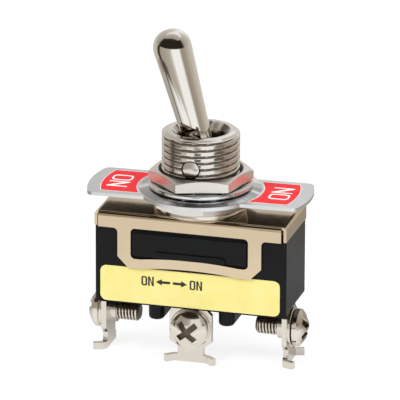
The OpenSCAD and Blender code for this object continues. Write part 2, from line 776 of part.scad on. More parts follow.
// an end terminal: blade, stem up the end wall, and a shelf that carries the fixed contact
module end_terminal() {
    top = shelf_z - case_z + terminal_t;
    shelf_l = end_face_x - contact_x + contact_d / 2 + 0.3;
    terminal_blade(end_pad_w, end_tab_angle, end_tab_reach);
    translate([-stem_w / 2, 0, -tiny]) cube([stem_w, terminal_t, top + tiny]);
    translate([-stem_w / 2, 0, top - terminal_t]) cube([stem_w, shelf_l, terminal_t]);
}

module terminal_left() { color("wheat") raised() at_left() end_terminal(); }
module terminal_right() { color("wheat") raised() at_right() end_terminal(); }

// the common terminal runs back under the cradle
module terminal_common() {
    top = common_z - case_z + terminal_t;
    color("wheat") raised() at_common() {
        terminal_blade(middle_pad_w, middle_tab_angle, middle_tab_reach);
        translate([-stem_w / 2, 0, -tiny]) cube([stem_w, terminal_t, top + tiny]);
        translate([-stem_w / 2, 0, top - terminal_t])
            cube([stem_w, middle_face_y + cavity_w / 2 - fit_gap, terminal_t]);
    }
}

module screw_left() { color("silver") raised() at_left() on_captive() terminal_screw(); }
module screw_common() { color("silver") raised() at_common() on_captive() terminal_screw(); }
module screw_right() { color("silver") raised() at_right() on_captive() terminal_screw(); }
module captive_washer_left() { color("silver") raised() at_left() on_pad() captive_washer(); }
module captive_washer_common() { color("silver") raised() at_common() on_pad() captive_washer(); }
module captive_washer_right() { color("silver") raised() at_right() on_pad() captive_washer(); }

// ---------- mechanism ----------

module plunger() {
    color("ivory") raised() leaning() rotate_extrude() {
        translate([0, -plunger_reach]) square([plunger_d / 2, plunger_reach - plunger_top]);
        translate([0, -plunger_reach]) intersection() {
            circle(plunger_d / 2);
            translate([0, -plunger_d]) square(plunger_d);
        }
    }
}

// round wire on a helix, from the plunger's top to the seat in the tail
module plunger_spring() {
    steps = 20;
    sides = 8;
    coil_r = plunger_d / 2 - wire_d / 2 - fit_gap;
    length = plunger_top - spring_seat - wire_d - 2 * touch_gap;
    count = spring_turns * steps;
    pitch = length / spring_turns;
    ring = [for (i = [0:count]) let (a = 360 * i / steps, z = length * i / count)
        for (j = [0:sides - 1]) let (b = 360 * j / sides, r = coil_r + wire_d / 2 * cos(b))
            [r * cos(a), r * sin(a), z + wire_d / 2 * sin(b)]];
    sheath = [for (i = [0:count - 1]) for (j = [0:sides - 1])
        let (k = (j + 1) % sides) [i * sides + j, i * sides + k, (i + 1) * sides + k, (i + 1) * sides + j]];
    ends = [[for (j = [sides - 1:-1:0]) j], [for (j = [0:sides - 1]) count * sides + j]];
    color("gray") raised() leaning() translate([0, 0, -plunger_top + wire_d / 2 + touch_gap])
        polyhedron(points = ring, faces = concat(sheath, ends), convexity = 10);
}

// in the rocker's own frame, turned so that its right arm is down
module tilted() {
    translate([0, 0, rocker_z]) rotate([0, rocker_tilt, 0]) children();
}

// bent strip with a rolled eye: inner arms rise from the apex, outer arms level off
module rocker_contact() {
    outer_z = rise_z + (rocker_reach - rocker_bend_x) * tan(rocker_tilt);
    color("goldenrod") raised() tilted() translate([0, rocker_w / 2, 0]) upright(rocker_w) difference() {
        union() {
            polygon([[0, strip_z], [rocker_bend_x, strip_z + rise_z], [rocker_reach, strip_z + outer_z],
                     [rocker_reach, apex_z + outer_z], [rocker_bend_x, apex_z + rise_z], [0, apex_z],
                     [-rocker_bend_x, apex_z + rise_z], [-rocker_reach, apex_z + outer_z],
                     [-rocker_reach, strip_z + outer_z], [-rocker_bend_x, strip_z + rise_z]]);
            circle(eye_r);
        }
        circle(rocker_pin_r + run_gap);
    }
}

// two silver rivets under the outer arms: at full tilt the lower one is level
module rocker_rivets() {
    color("gainsboro") raised() tilted() for (s = [0, 1]) mirror([s, 0, 0])
        translate([rocker_bend_x, 0, strip_z + rise_z]) rotate([0, -rocker_tilt, 0])
            translate([rivet_run, 0, -contact_h]) cylinder(h = contact_h, r = contact_d / 2);
}

module rocker_pin() {
    color("silver") raised() translate([0, 0, rocker_z]) rotate([90, 0, 0])
        cylinder(h = rocker_w + 2 * clear + 2 * cradle_t, r = rocker_pin_r, center = true);
}

// U-shaped cradle on the common terminal, its ears bored for the rocker's pin
module rocker_cradle() {
    base_z = common_z + terminal_t;
    inside = rocker_w + 2 * clear;
    ear_r = rocker_pin_r + 0.9;
    color("goldenrod") raised() {
        for (s = [-1, 1]) translate([0, s * (inside + cradle_t) / 2 + cradle_t / 2, 0])
            upright(cradle_t) difference() {
                union() {
                    polygon([[-stem_w / 2, base_z], [stem_w / 2, base_z],
                             [ear_r, rocker_z], [-ear_r, rocker_z]]);
                    translate([0, rocker_z]) circle(ear_r);
                }
                translate([0, rocker_z]) circle(rocker_pin_r);
            }
        translate([-stem_w / 2, -inside / 2 - tiny, base_z]) cube([stem_w, inside + 2 * tiny, cradle_t]);
    }
}

module fixed_contact(s) {
    color("gainsboro") raised() translate([s * contact_x, 0, shelf_z + terminal_t])
        cylinder(h = contact_h, r = contact_d / 2);
}
module fixed_contact_left() { fixed_contact(-1); }
module fixed_contact_right() { fixed_contact(1); }

toggle_lever();
pivot_pin();
bushing();
panel_nut();
lock_washer();
legend_plate();
red_fields();
backing_nut();
bracket();
insulating_card();
housing();
label();
terminal_left();
terminal_common();
terminal_right();
screw_left();
screw_common();
screw_right();
captive_washer_left();
captive_washer_common();
captive_washer_right();
plunger();
plunger_spring();
rocker_contact();
rocker_rivets();
rocker_pin();
rocker_cradle();
fixed_contact_left();
fixed_contact_right();
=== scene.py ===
# %% [markdown]
# # A panel toggle switch
# A toggle switch like this one is held in a panel by its threaded bushing. A bat-shaped
# lever leans to one side, and a moulded housing below carries three screw terminals.
# The solids come from the construction model. This script gives them their looks: it
# rebuilds the pieces whose fine shape shows, such as threads and nuts, and gives every
# piece a procedural material.

# %% Load the frame
import bpy
import bmesh
import math
from mathutils import Matrix, Vector


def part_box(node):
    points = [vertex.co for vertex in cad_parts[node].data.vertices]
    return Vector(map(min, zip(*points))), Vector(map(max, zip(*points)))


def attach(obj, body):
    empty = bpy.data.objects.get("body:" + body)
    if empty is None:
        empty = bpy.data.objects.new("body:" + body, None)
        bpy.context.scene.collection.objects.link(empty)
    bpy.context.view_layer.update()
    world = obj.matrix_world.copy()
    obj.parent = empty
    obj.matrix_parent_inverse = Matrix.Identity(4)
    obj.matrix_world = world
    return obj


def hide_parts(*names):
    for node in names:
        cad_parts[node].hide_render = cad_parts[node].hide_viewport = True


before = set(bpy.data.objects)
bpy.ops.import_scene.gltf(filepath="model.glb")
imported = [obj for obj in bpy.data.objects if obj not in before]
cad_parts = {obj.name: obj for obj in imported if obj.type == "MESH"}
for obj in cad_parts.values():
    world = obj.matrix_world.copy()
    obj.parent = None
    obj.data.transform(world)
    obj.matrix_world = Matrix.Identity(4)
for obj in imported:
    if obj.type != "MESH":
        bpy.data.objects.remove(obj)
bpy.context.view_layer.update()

# %% [markdown]
# The drawing is in millimetres and Blender works in metres, so one factor turns the sizes.
# The places are measured from the CAD nodes, so a piece always sits where its solid does.

# %% Sizes and places
MM = 0.001


def span(node):
    """The node's lowest and highest corner, in millimetres."""
    low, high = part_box(node)
    return low / MM, high / MM


plate_low, plate_high = span("legend_plate")
SEAT = plate_low.z
PLATE_TOP = plate_high.z
PIVOT = (span("pivot_pin")[0].z + span("pivot_pin")[1].z) / 2
BRACKET_TOP = span("bracket")[1].z
BUSHING_LOW, BUSHING_HIGH = (corner.z for corner in span("bushing"))
THREAD_R = 6.0
LEAN = math.radians(14.65)
print("panel seat", round(SEAT, 2), "pivot", round(PIVOT, 2),
      "bracket top", round(BRACKET_TOP, 2))

# %% [markdown]
# ## Colours and nodes
# Colours are written as sRGB hex values, as a paint chart gives them, and one function
# turns them into the linear values that the renderer works with. A second function adds
# a shader node, sets its inputs and links them, so each material reads as a short list.

# %% Colours
def linear(hex_colour):
    """A colour such as #c9cbd0 as linear red, green, blue and an alpha of 1."""
    values = [int(hex_colour[i:i + 2], 16) / 255 for i in (1, 3, 5)]
    return [v / 12.92 if v <= 0.04045 else ((v + 0.055) / 1.055) ** 2.4 for v in values] + [1]


print("#808080 in linear light:", [round(v, 3) for v in linear("#808080")[:3]])


# %% Nodes
def add(tree, kind, settings=None, **inputs):
    """Adds a node. settings are its own properties, inputs its sockets: values or links."""
    node = tree.nodes.new(kind)
    for name, value in (settings or {}).items():
        setattr(node, name, value)
    for name, value in inputs.items():
        key = int(name[1:]) if name[0] == "i" and name[1:].isdigit() else name.replace("_", " ")
        socket = node.inputs[key]
        if isinstance(value, bpy.types.NodeSocket):
            tree.links.new(value, socket)
        else:
            socket.default_value = value
    return node


def ramp(tree, factor, stops):
    """A colour ramp with stops of (position, hex colour)."""
    node = add(tree, "ShaderNodeValToRGB", i0=factor)
    elements = node.color_ramp.elements
    while len(elements) < len(stops):
        elements.new(0.5)
    for element, (position, colour) in zip(elements, sorted(stops)):
        element.position = position
        element.color = linear(colour)
    return node.outputs[0]


def bare_material(name):
    """A material with nothing in its tree but the object coordinates."""
    material = bpy.data.materials.new(name)
    material.use_nodes = True
    tree = material.node_tree
    tree.nodes.clear()
    return material, tree, add(tree, "ShaderNodeTexCoord").outputs["Object"]


def new_material(name):
    """A material with a Principled shader, its tree and its object coordinates."""
    material, tree, place = bare_material(name)
    shader = add(tree, "ShaderNodeBsdfPrincipled")
    add(tree, "ShaderNodeOutputMaterial", Surface=shader.outputs[0])
    return material, tree, shader, place


def per_mm(period):
    """The scale that makes a noise or wave repeat about every so many millimetres."""
    return 1.0 / (period * MM)


print("a pattern of 0.5 mm has the scale", per_mm(0.5))

# %% [markdown]
# ## Plated metals
# Nearly all the metal is plated. Nickel is a little yellower than chrome, and how bright
# its reflections are depends on how the part was made. The lever is polished before plating,
# the bushing is turned, and the nuts and washers are stamped and tumbled, so each gets
# its own roughness. A texture could be painted for each, but noise does the same without
# a seam: stretched along the tool's path it gives marks, and spread wide it gives the
# faint clouds of handled plating. Real tool marks are about 0.02 mm wide. That is too
# fine to show, so each is drawn as wide as it needs to be seen.

# %% Recipe for plated metal
CLOUD_MM = 4.0


def plated_metal(name, colour, roughness, marks, mark_mm, depth_mm, stretch=(1, 1, 1),
                 blotch=0.04):
    """A plated metal. marks is how strong its marks are, mark_mm and depth_mm their size."""
    material, tree, shader, place = new_material(name)
    shader.inputs["Metallic"].default_value = 1.0
    stretched = add(tree, "ShaderNodeMapping", i0=place, Scale=stretch)
    grain = add(tree, "ShaderNodeTexNoise", Vector=stretched.outputs[0],
                Scale=per_mm(mark_mm), Detail=3.0, Roughness=0.6)
    cloud = add(tree, "ShaderNodeTexNoise", Vector=place, Scale=per_mm(CLOUD_MM), Detail=2.0)
    tint = add(tree, "ShaderNodeMix", {"data_type": "RGBA"}, i0=cloud.outputs[0],
               i6=linear(colour), i7=[v * (1 - blotch) for v in linear(colour)[:3]] + [1])
    tree.links.new(tint.outputs[2], shader.inputs["Base Color"])
    rough = add(tree, "ShaderNodeMapRange", Value=grain.outputs[0], i1=0.3, i2=0.7,
                i3=roughness * (1 - marks), i4=roughness * (1 + marks))
    tree.links.new(rough.outputs[0], shader.inputs["Roughness"])
    bump = add(tree, "ShaderNodeBump", Strength=marks, Distance=depth_mm * MM,
               Height=grain.outputs[0])
    tree.links.new(bump.outputs[0], shader.inputs["Normal"])
    return material


print("clouds in the plating:", CLOUD_MM, "mm")

# %% Plated metals
# Bright nickel over polished brass: sharp reflections, slightly warm.
polished_nickel = plated_metal("polished_nickel", "#ebe7e1", 0.07, 0.2, 0.5, 0.0006)
# Bright nickel over turned brass: fine rings round the axis soften the reflections.
turned_nickel = plated_metal("turned_nickel", "#e6e1da", 0.1, 0.2, 0.15, 0.0006,
                             (0.2, 0.2, 1))
# Painted shade on the thread's lower flanks: a dark, dull nickel, so each turn of the thread
# ends in a dark line.
flank_shade_nickel = plated_metal("flank_shade_nickel", "#8f877c", 0.6, 0.15, 0.15, 0.0006)
# Tumbled nickel on the nuts: satin, so they show broad soft light.
satin_nickel = plated_metal("satin_nickel", "#e9e5df", 0.32, 0.12, 0.3, 0.0006)
# Bright zinc on the screws, with the marks of the header's die: small broken glints.
bright_zinc = plated_metal("bright_zinc", "#dcd5ca", 0.14, 0.3, 0.3, 0.001)
# The lock washer is spring steel under blue zinc: neutral and nearly a mirror.
blue_zinc = plated_metal("blue_zinc", "#e6e8ea", 0.1, 0.3, 0.4, 0.001)
# The bracket is nickel over rolled steel, with a warm cast and lines along the sheet.
rolled_nickel = plated_metal("rolled_nickel", "#d6c3a6", 0.12, 0.35, 0.3, 0.001,
                             (0.15, 1, 1), 0.1)
# Terminals: nickel over stamped brass, duller than the bushing, so their faces read flat.
stamped_nickel = plated_metal("stamped_nickel", "#d8d1c7", 0.2, 0.25, 0.4, 0.001)
# Bare rolled brass inside: yellow, with faint lines along the strip.
rolled_brass = plated_metal("rolled_brass", "#c9a24e", 0.28, 0.3, 0.2, 0.004, (0.2, 1, 1))
# Silver contacts, coined to a satin face: the palest metal here.
coined_silver = plated_metal("coined_silver", "#e8e6e0", 0.22, 0.3, 0.2, 0.004)
# Ground steel pins, with fine lines along them: a soft, straight glint.
ground_steel = plated_metal("ground_steel", "#dcd7cf", 0.16, 0.3, 0.2, 0.001, (1, 0.2, 1))
# Drawn spring wire: grey and a little dull from the die's grease.
drawn_wire = plated_metal("drawn_wire", "#9b9890", 0.3, 0.3, 0.1, 0.003)
# Anodised aluminium is a metal under a thin clear oxide: a pale, even grey, fine grained.
anodised_sheet = plated_metal("anodised_sheet", "#e3e5e8", 0.32, 0.12, 0.3, 0.0006,
                              (0.2, 1, 1), 0.02)
print("metals:", [m.name for m in bpy.data.materials if m.use_nodes])

# %% [markdown]
# ## Turned faces with a painted reflection fan
# A face that was turned or pressed carries rings about its axis. They are much too fine to
# see, but they spread each reflection into light and dark blades that fan out from the
# middle, as on the bottom of a steel pan. Real rings would need a very dense mesh. Here the
# fan is painted into the base colour as a painted reflection: the angle round the axis is
# bent by a one-dimensional noise, so that the blades are uneven, and a sine of it runs
# between two tones.

# %% Turned face materials
def painted_fan_metal(name, colour, dark, roughness, blades, shift):
    """A faced metal with a painted reflection fan. blades is how many the fan has, shift turns
    it, in degrees.
    """
    material, tree, shader, place = new_material(name)
    shader.inputs["Metallic"].default_value = 1.0
    shader.inputs["Roughness"].default_value = roughness
    parts = add(tree, "ShaderNodeSeparateXYZ", i0=place)
    turn = add(tree, "ShaderNodeMath", {"operation": "ARCTAN2"}, i0=parts.outputs[1],
               i1=parts.outputs[0])
    spread = add(tree, "ShaderNodeTexNoise", {"noise_dimensions": "1D"}, W=turn.outputs[0],
                 Scale=1.3, Detail=3.0)
    bent = add(tree, "ShaderNodeMath", {"operation": "MULTIPLY_ADD"}, i0=spread.outputs[0],
               i1=2.2, i2=turn.outputs[0])
    wave = add(tree, "ShaderNodeMath", {"operation": "MULTIPLY_ADD"}, i0=bent.outputs[0],
               i1=float(blades), i2=math.radians(shift))
    blade = add(tree, "ShaderNodeMath", {"operation": "SINE"}, i0=wave.outputs[0])
    level = add(tree, "ShaderNodeMapRange", Value=blade.outputs[0], i1=-0.8, i2=0.8,
                i3=0.0, i4=1.0)
    tint = ramp(tree, level.outputs[0], [(0.0, dark), (1.0, colour)])
    tree.links.new(tint, shader.inputs["Base Color"])
    return material


# The countersunk mouth of the bushing: bright nickel with painted deep brown-grey reflection
# blades.
mouth_painted_fan = painted_fan_metal("mouth_painted_fan", "#e9e3dc", "#6b6056", 0.16, 6, 0)
# The pressed middle of the legend plate: white aluminium with painted soft grey reflection
# blades.
dish_painted_fan = painted_fan_metal("dish_painted_fan", "#f2f3f5", "#a9abae", 0.24, 7, 40)
print("turned faces:", mouth_painted_fan.name, "and", dish_painted_fan.name)

# %% [markdown]
# ## Moulded, printed and painted finishes
# The housing is a black phenolic moulding. It is hard and a little shiny, with a faint
# haze from the filler. The legend plate's fields are filled with red enamel, and the label
# is coated yellow paper, printed in black. None of them is metal, so they share one recipe:
# two near tones in soft clouds, and a grain that moves the gloss and the surface a little.
# Paper fibre and moulding grain are finer than the grain drawn here, which is as coarse as
# it needs to be to show.

# %% Phenolic, enamel, paper and card
def moulded(name, colour, speck, roughness, grain_mm, depth_mm, **levels):
    """A finish of two tones, with a grain. levels are other sockets of the shader."""
    material, tree, shader, place = new_material(name)
    grain = add(tree, "ShaderNodeTexNoise", Vector=place, Scale=per_mm(grain_mm), Detail=4.0)
    cloud = add(tree, "ShaderNodeTexNoise", Vector=place, Scale=per_mm(3.0), Detail=2.0)
    tint = ramp(tree, cloud.outputs[0], [(0.35, colour), (0.75, speck)])
    tree.links.new(tint, shader.inputs["Base Color"])
    rough = add(tree, "ShaderNodeMapRange", Value=grain.outputs[0], i1=0.3, i2=0.7,
                i3=roughness * 0.85, i4=roughness * 1.2)
    tree.links.new(rough.outputs[0], shader.inputs["Roughness"])
    bump = add(tree, "ShaderNodeBump", Strength=0.35, Distance=depth_mm * MM,
               Height=grain.outputs[0])
    tree.links.new(bump.outputs[0], shader.inputs["Normal"])
    for socket, level in levels.items():
        shader.inputs[socket.replace("_", " ")].default_value = level
    return material


# Phenolic, dull from handling: a deep black that mirrors less than a fresh moulding.
black_phenolic = moulded("black_phenolic", "#0e0f10", "#131416", 0.24, 0.6, 0.001,
                         Specular_IOR_Level=0.14)
# Filled enamel, baked and rubbed flat: an even strong red with hardly any shine.
red_enamel = moulded("red_enamel", "#e4202a", "#ea2a30", 0.4, 0.4, 0.002,
                     Specular_IOR_Level=0.12)
# White screen ink on the plate: clean and matt.
white_print = moulded("white_print", "#f4f2ee", "#fbfaf7", 0.5, 0.3, 0.002)
# Coated label paper: pale yellow, with the fibres just felt under the coat.
label_paper = moulded("label_paper", "#f4e68c", "#f8ec9c", 0.5, 0.15, 0.004)
# Black label ink: a warm black, because a little of the yellow shows through.
label_ink = moulded("label_ink", "#1d1a12", "#2a2618", 0.5, 0.2, 0.002)
# Vulcanised fibre card: dark red-brown, matt and rough.
fibre_card = moulded("fibre_card", "#5a2a1c", "#6b3524", 0.6, 0.15, 0.02)
# Natural nylon: cream, and light goes a little way in.
nylon = moulded("nylon", "#e4dcc4", "#ece6d2", 0.45, 0.3, 0.006, Subsurface_Weight=0.15)
# The underside of the plate: dull and dark.
dark_underside = moulded("dark_underside", "#3a342c", "#4a4238", 0.7, 0.3, 0.004)
# Painted shade in deep holes and gaps: nearly black, with a soft shine.
hollow_shade = moulded("hollow_shade", "#1a1613", "#2b241e", 0.35, 0.3, 0.002)
# A brown painted shade over metal, in the screws' recesses and threads.
recess_shade = moulded("recess_shade", "#4c3d2c", "#76634c", 0.25, 0.3, 0.002)
print("finishes:", len(bpy.data.materials))

# %% [markdown]
# ## Building pieces
# Turned parts are made as a lathe makes them: a profile in radius and height goes round
# an axis. Stamped parts are an outline with a thickness. Blender's own Screw and Solidify
# modifiers could do both, but a short function also lets a thread change the radius as
# the profile goes round, and takes outlines with holes.

# %% Turned shapes
def lathe(profile, steps=96, push=None):
    """A closed line of (radius, z) points turned about Z.
    push(angle, index) is what it adds to the radius of a point."""
    mesh = bmesh.new()
    rings = []
    for k in range(steps):
        angle = 2 * math.pi * k / steps
        ring = []
        for index, (radius, z) in enumerate(profile):
            r = radius + (push(angle, index) if push else 0)
            ring.append(mesh.verts.new((r * math.cos(angle), r * math.sin(angle), z)))
        rings.append(ring)
    count = len(profile)
    for k in range(steps):
        a, b = rings[k], rings[(k + 1) % steps]
        for i in range(count):
            j = (i + 1) % count
            if profile[i][0] < 1e-6 and profile[j][0] < 1e-6:
                continue
            mesh.faces.new((a[i], b[i], b[j], a[j]))
    bmesh.ops.remove_doubles(mesh, verts=mesh.verts, dist=1e-5)
    bmesh.ops.recalc_face_normals(mesh, faces=mesh.faces)
    return mesh


washer_test = lathe([(1, 0), (2, 0), (2, 1), (1, 1)], 8)
print("a washer of eight steps:", len(washer_test.faces), "faces")
washer_test.free()


# %% Stamped shapes
def slab(outline, low, high, holes=()):
    """A flat outline of (x, y) points between two heights, with holes of the same kind."""
    mesh = bmesh.new()
    loops = []
    for points in (outline, *holes):
        verts = [mesh.verts.new((x, y, low)) for x, y in points]
        loops.append([mesh.edges.new((verts[i], verts[(i + 1) % len(verts)]))
                      for i in range(len(verts))])
    edges = [edge for loop in loops for edge in loop]
    bmesh.ops.triangle_fill(mesh, edges=edges, use_beauty=True, use_dissolve=False)
    up = bmesh.ops.extrude_face_region(mesh, geom=list(mesh.faces))
    verts = [v for v in up["geom"] if isinstance(v, bmesh.types.BMVert)]
    bmesh.ops.translate(mesh, verts=verts, vec=(0, 0, high - low))
    bmesh.ops.recalc_face_normals(mesh, faces=mesh.faces)
    return mesh


def arc(centre, radius, start, end, steps=12):
    """Points on an arc, in degrees."""
    angles = [math.radians(start + (end - start) * i / steps) for i in range(steps + 1)]
    return [(centre[0] + radius * math.cos(a), centre[1] + radius * math.sin(a)) for a in angles]


print("a quarter turn in two steps:", [round(x, 3) for x, y in arc((0, 0), 1, 0, 90, 2)])


# %% Cutters and placing
def block(size, centre):
    """A box as a mesh, for cutting with."""
    mesh = bmesh.new()
    place = Matrix.Translation(centre) @ Matrix.Diagonal((*size, 1))
    bmesh.ops.create_cube(mesh, size=1, matrix=place)
    return mesh


def rod(radius, length, steps=48):
    """A plain cylinder along Z, centred, for cutting with."""
    mesh = bmesh.new()
    bmesh.ops.create_cone(mesh, cap_ends=True, segments=steps, radius1=radius,
                          radius2=radius, depth=length)
    return mesh


def moved(mesh, matrix):
    """The mesh, put in place."""
    bmesh.ops.transform(mesh, matrix=matrix, verts=mesh.verts)
    return mesh


def about(axis, degrees):
    """A turn about an axis."""
    return Matrix.Rotation(math.radians(degrees), 4, axis)


# Takes a shape drawn along Z, or on the flat, to one that lies along Y or faces the front.
ALONG_Y = about("X", 90)
print("up becomes", [round(v) for v in ALONG_Y @ Vector((0, 0, 1))])

# %% [markdown]
# Holes and recesses are cut with exact booleans. Each is applied at once, so that the faces
# of a hole can be given their own material afterwards, and the helpers leave no trace.

# %% Cutting
def as_object(mesh, name):
    """Puts a mesh in the scene as an object."""
    data = bpy.data.meshes.new(name)
    mesh.to_mesh(data)
    mesh.free()
    item = bpy.data.objects.new(name, data)
    bpy.context.scene.collection.objects.link(item)
    return item


def carve(mesh, cutters, mode="DIFFERENCE"):
    """Cuts (or joins, or keeps the common part of) a mesh with others, and gives a mesh back."""
    item = as_object(mesh, "work")
    helpers = []
    for cutter in cutters:
        helper = as_object(cutter, "cutter")
        helpers.append(helper)
        modifier = item.modifiers.new("cut", "BOOLEAN")
        modifier.operation, modifier.object, modifier.solver = mode, helper, "EXACT"
    graph = bpy.context.evaluated_depsgraph_get()
    result = bmesh.new()
    result.from_mesh(item.evaluated_get(graph).to_mesh())
    for thing in helpers + [item]:
        data = thing.data
        bpy.data.objects.remove(thing)
        bpy.data.meshes.remove(data)
    return result


hole_test = carve(block((2, 2, 2), (0, 0, 0)), [rod(0.5, 3, 12)])
print("a cube with a hole:", len(hole_test.verts), "points")
hole_test.free()

# %% [markdown]
# No real edge is perfectly sharp. A small bevel gives each one the rounded line that
# catches light, and the angle limit keeps it off the curved faces. Every piece is drawn in
# millimetres where it belongs, then it is scaled, finished and put on the body that moves it.
# A CAD node that already has the right shape only gets its finish and its bevel.

# %% Pieces and their edges
CREASE = 32


def soften(item, width, segments=2, crease=CREASE):
    """A bevel on each edge that is sharper than the crease angle."""
    bevel = item.modifiers.new("edge", "BEVEL")
    bevel.width, bevel.segments, bevel.limit_method = width * MM, segments, "ANGLE"
    bevel.angle_limit = math.radians(crease)
    bevel.harden_normals = True
    bevel.use_clamp_overlap = True


def piece(name, mesh, material, body, replaces=(), bevel=0.0, crease=CREASE,
          segments=2):
    """Makes a piece from a mesh drawn in place, in millimetres, and puts it on its body."""
    moved(mesh, Matrix.Scale(MM, 4))
    item = as_object(mesh, name)
    item.data.materials.append(material)
    for polygon in item.data.polygons:
        polygon.use_smooth = True
    item.data.set_sharp_from_angle(angle=math.radians(crease))
    if bevel:
        soften(item, bevel, segments, crease)
    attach(item, body)
    if replaces:
        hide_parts(*replaces)
    return item


def finish_node(node, material, bevel=0.0):
    """A CAD node that keeps its own solid gets its finish and, if wanted, soft edges."""
    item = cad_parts[node]
    if not item.material_slots:
        item.data.materials.append(material)
    for slot in item.material_slots:
        slot.material = material
    if bevel:
        soften(item, bevel)


print("edges sharper than", CREASE, "degrees get a bevel")

# %% [markdown]
# ## The lever
# The bat lever is turned from brass: a round end of 6 mm, a long slow taper, and at its
# foot a flat tongue that the pivot pin goes through. A tapered cylinder with a sphere on it
# would show a ring where the two meet, so one profile runs through both, and its end is a
# little fuller than a true dome, as a turned and tumbled end is. The cutter that mills the
# two flats leaves a curved run-out, which shows in the mouth of the bushing.

# %% Lever profile
REACH, TIP_R, HANDLE_R, TAPER_START = 20.75, 2.975, 2.26, 4.3
TAIL_R, TAIL_END = 2.2, 9.0
FULLNESS = 0.94
ball = REACH - TIP_R
lever_line = [(0, -TAIL_END), (TAIL_R - 0.2, -TAIL_END), (TAIL_R, -TAIL_END + 0.2),
              (TAIL_R, 1.6), (HANDLE_R, 2.1)]
lever_line += [(HANDLE_R + (TIP_R - HANDLE_R) * i / 10,
                TAPER_START + (ball - TAPER_START) * i / 10) for i in range(11)]
for degrees in range(3, 90, 3):
    across, along = math.cos(math.radians(degrees)), math.sin(math.radians(degrees))
    lever_line.append((TIP_R * across ** FULLNESS, ball + TIP_R * along ** FULLNESS))
lever_line.append((0, REACH))
print("lever profile:", len(lever_line), "points,", REACH + TAIL_END, "mm long")

# %% Lever
FLAT_HALF, FLAT_LOW, CUTTER_R, CUTTER_MID = 1.9, -1.9, 1.1, 4.5
run_out = [(FLAT_HALF, FLAT_LOW), (FLAT_HALF, CUTTER_MID)]
run_out += arc((FLAT_HALF + CUTTER_R, CUTTER_MID), CUTTER_R, 180, 90, 12)
run_out += [(6, CUTTER_MID + CUTTER_R), (6, FLAT_LOW)]
# the outline is drawn in Y and Z, so the slab's own axes are turned to match
UPRIGHT = Matrix(((0, 0, 1, 0), (1, 0, 0, 0), (0, 1, 0, 0), (0, 0, 0, 1)))
flats = [moved(slab([(side * y, z) for y, z in run_out], -6, 6), UPRIGHT) for side in (1, -1)]
# the handle was set a degree off its tongue when it was headed, about a point near its end
set_point = Matrix.Translation((0, 0, 16.9))
lever_turn = (Matrix.Translation((0, 0, PIVOT)) @ Matrix.Rotation(-LEAN, 4, "Y")
              @ set_point @ about("Y", -1.2) @ set_point.inverted())
lever_mesh = carve(lathe(lever_line, 128), flats)
lever = piece("bat_lever", moved(lever_mesh, lever_turn), polished_nickel, "lever",
              ("toggle_lever",), crease=40)
print("lever:", len(lever.data.polygons), "faces")

# %% [markdown]
# ## The bushing and its thread
# The bushing is an M12 thread with a pitch of 1 mm. A thread is a groove on a helix, so
# the profile is turned like any other, and each point's radius then depends on how far
# along the pitch it is at that angle. That gives a real thread in one pass, with its
# run-out at both ends. The crests are broad and flat and the grooves between them round
# and shallow, as a thread is that was cut and then filled a little by thick plating. A flat
# crest also mirrors one band of light, so the thread reads as clean bright turns.

# %% Thread shape
def thread_depth(phase, depth, flat=0.58):
    """How deep the groove is at a phase of 0 to 1 along the pitch, the crest being at 0.
    flat is the share of the pitch that the crest takes."""
    x = min(phase % 1.0, 1 - phase % 1.0) * 2
    groove = max(0.0, (x - flat) / (1 - flat))
    return -depth * (1 - math.cos(math.pi * groove)) / 2


def fade(z, low, high, width):
    """1 on the threaded stretch, falling to 0 at its ends."""
    return max(0.0, min(1.0, (z - low) / width, (high - z) / width))


print("groove in the middle of the pitch:", thread_depth(0.5, 0.32), "mm")

# %% [markdown]
# The rest of the bushing is one line too: a collar at its foot, the threaded wall, a rim
# that is rolled over towards the mouth, the countersunk mouth, a hole that narrows to the
# pivot, and the tube that is riveted into the bracket.

# %% Bushing profile
PITCH, GROOVE = 1.0, 0.32
RIM = BUSHING_HIGH + 0.5
CREST = BUSHING_HIGH - 0.44
HOLE_R, MOUTH_R = 3.7, 4.45
COLLAR_R, COLLAR_TOP = 6.7, BRACKET_TOP + 0.65
FOOT_R, TUBE_R, BORE_R = 5.95, 5.7, 4.95
thread_low, thread_high = SEAT - 1.8, RIM - 0.4
wall = [(COLLAR_R, BRACKET_TOP), (COLLAR_R, COLLAR_TOP - 0.15), (COLLAR_R - 0.15, COLLAR_TOP),
        (THREAD_R, COLLAR_TOP)]
first = len(wall)
rows = int((thread_high - thread_low) / (PITCH / 16))
wall += [(THREAD_R, thread_low + (thread_high - thread_low) * i / rows)
         for i in range(rows + 1)]
last = len(wall)
# the rolled rim, from the first thread in to the mouth
wall += [(5.64, RIM - 0.34), (5.46, RIM - 0.12), (5.3, RIM - 0.08), (4.95, RIM - 0.03),
         (MOUTH_R + 0.2, RIM), (MOUTH_R, RIM - 0.04)]
# the countersink and the narrowing hole
wall += [(HOLE_R + 0.06, RIM - 0.78), (HOLE_R, RIM - 0.86), (3.54, RIM - 1.5),
         (3.05, RIM - 3.5), (3.0, PIVOT - 1.0)]
# the inside of the tube and its riveted foot
wall += [(BORE_R, BRACKET_TOP), (BORE_R, BUSHING_LOW), (FOOT_R, BUSHING_LOW),
         (FOOT_R, BUSHING_LOW + 0.4), (TUBE_R, BUSHING_LOW + 0.4), (TUBE_R, BRACKET_TOP)]
print("bushing profile:", len(wall), "points, thread from", round(thread_low, 2),
      "to", round(thread_high, 2))


# %% Bushing
def bushing_thread(angle, index):
    """The groove's depth at a point of the wall."""
    if not first <= index < last:
        return 0.0
    z = wall[index][1]
    strength = fade(z, thread_low, thread_high + 0.2, 0.25)
    return thread_depth((z - CREST) / PITCH - angle / (2 * math.pi), GROOVE * strength)


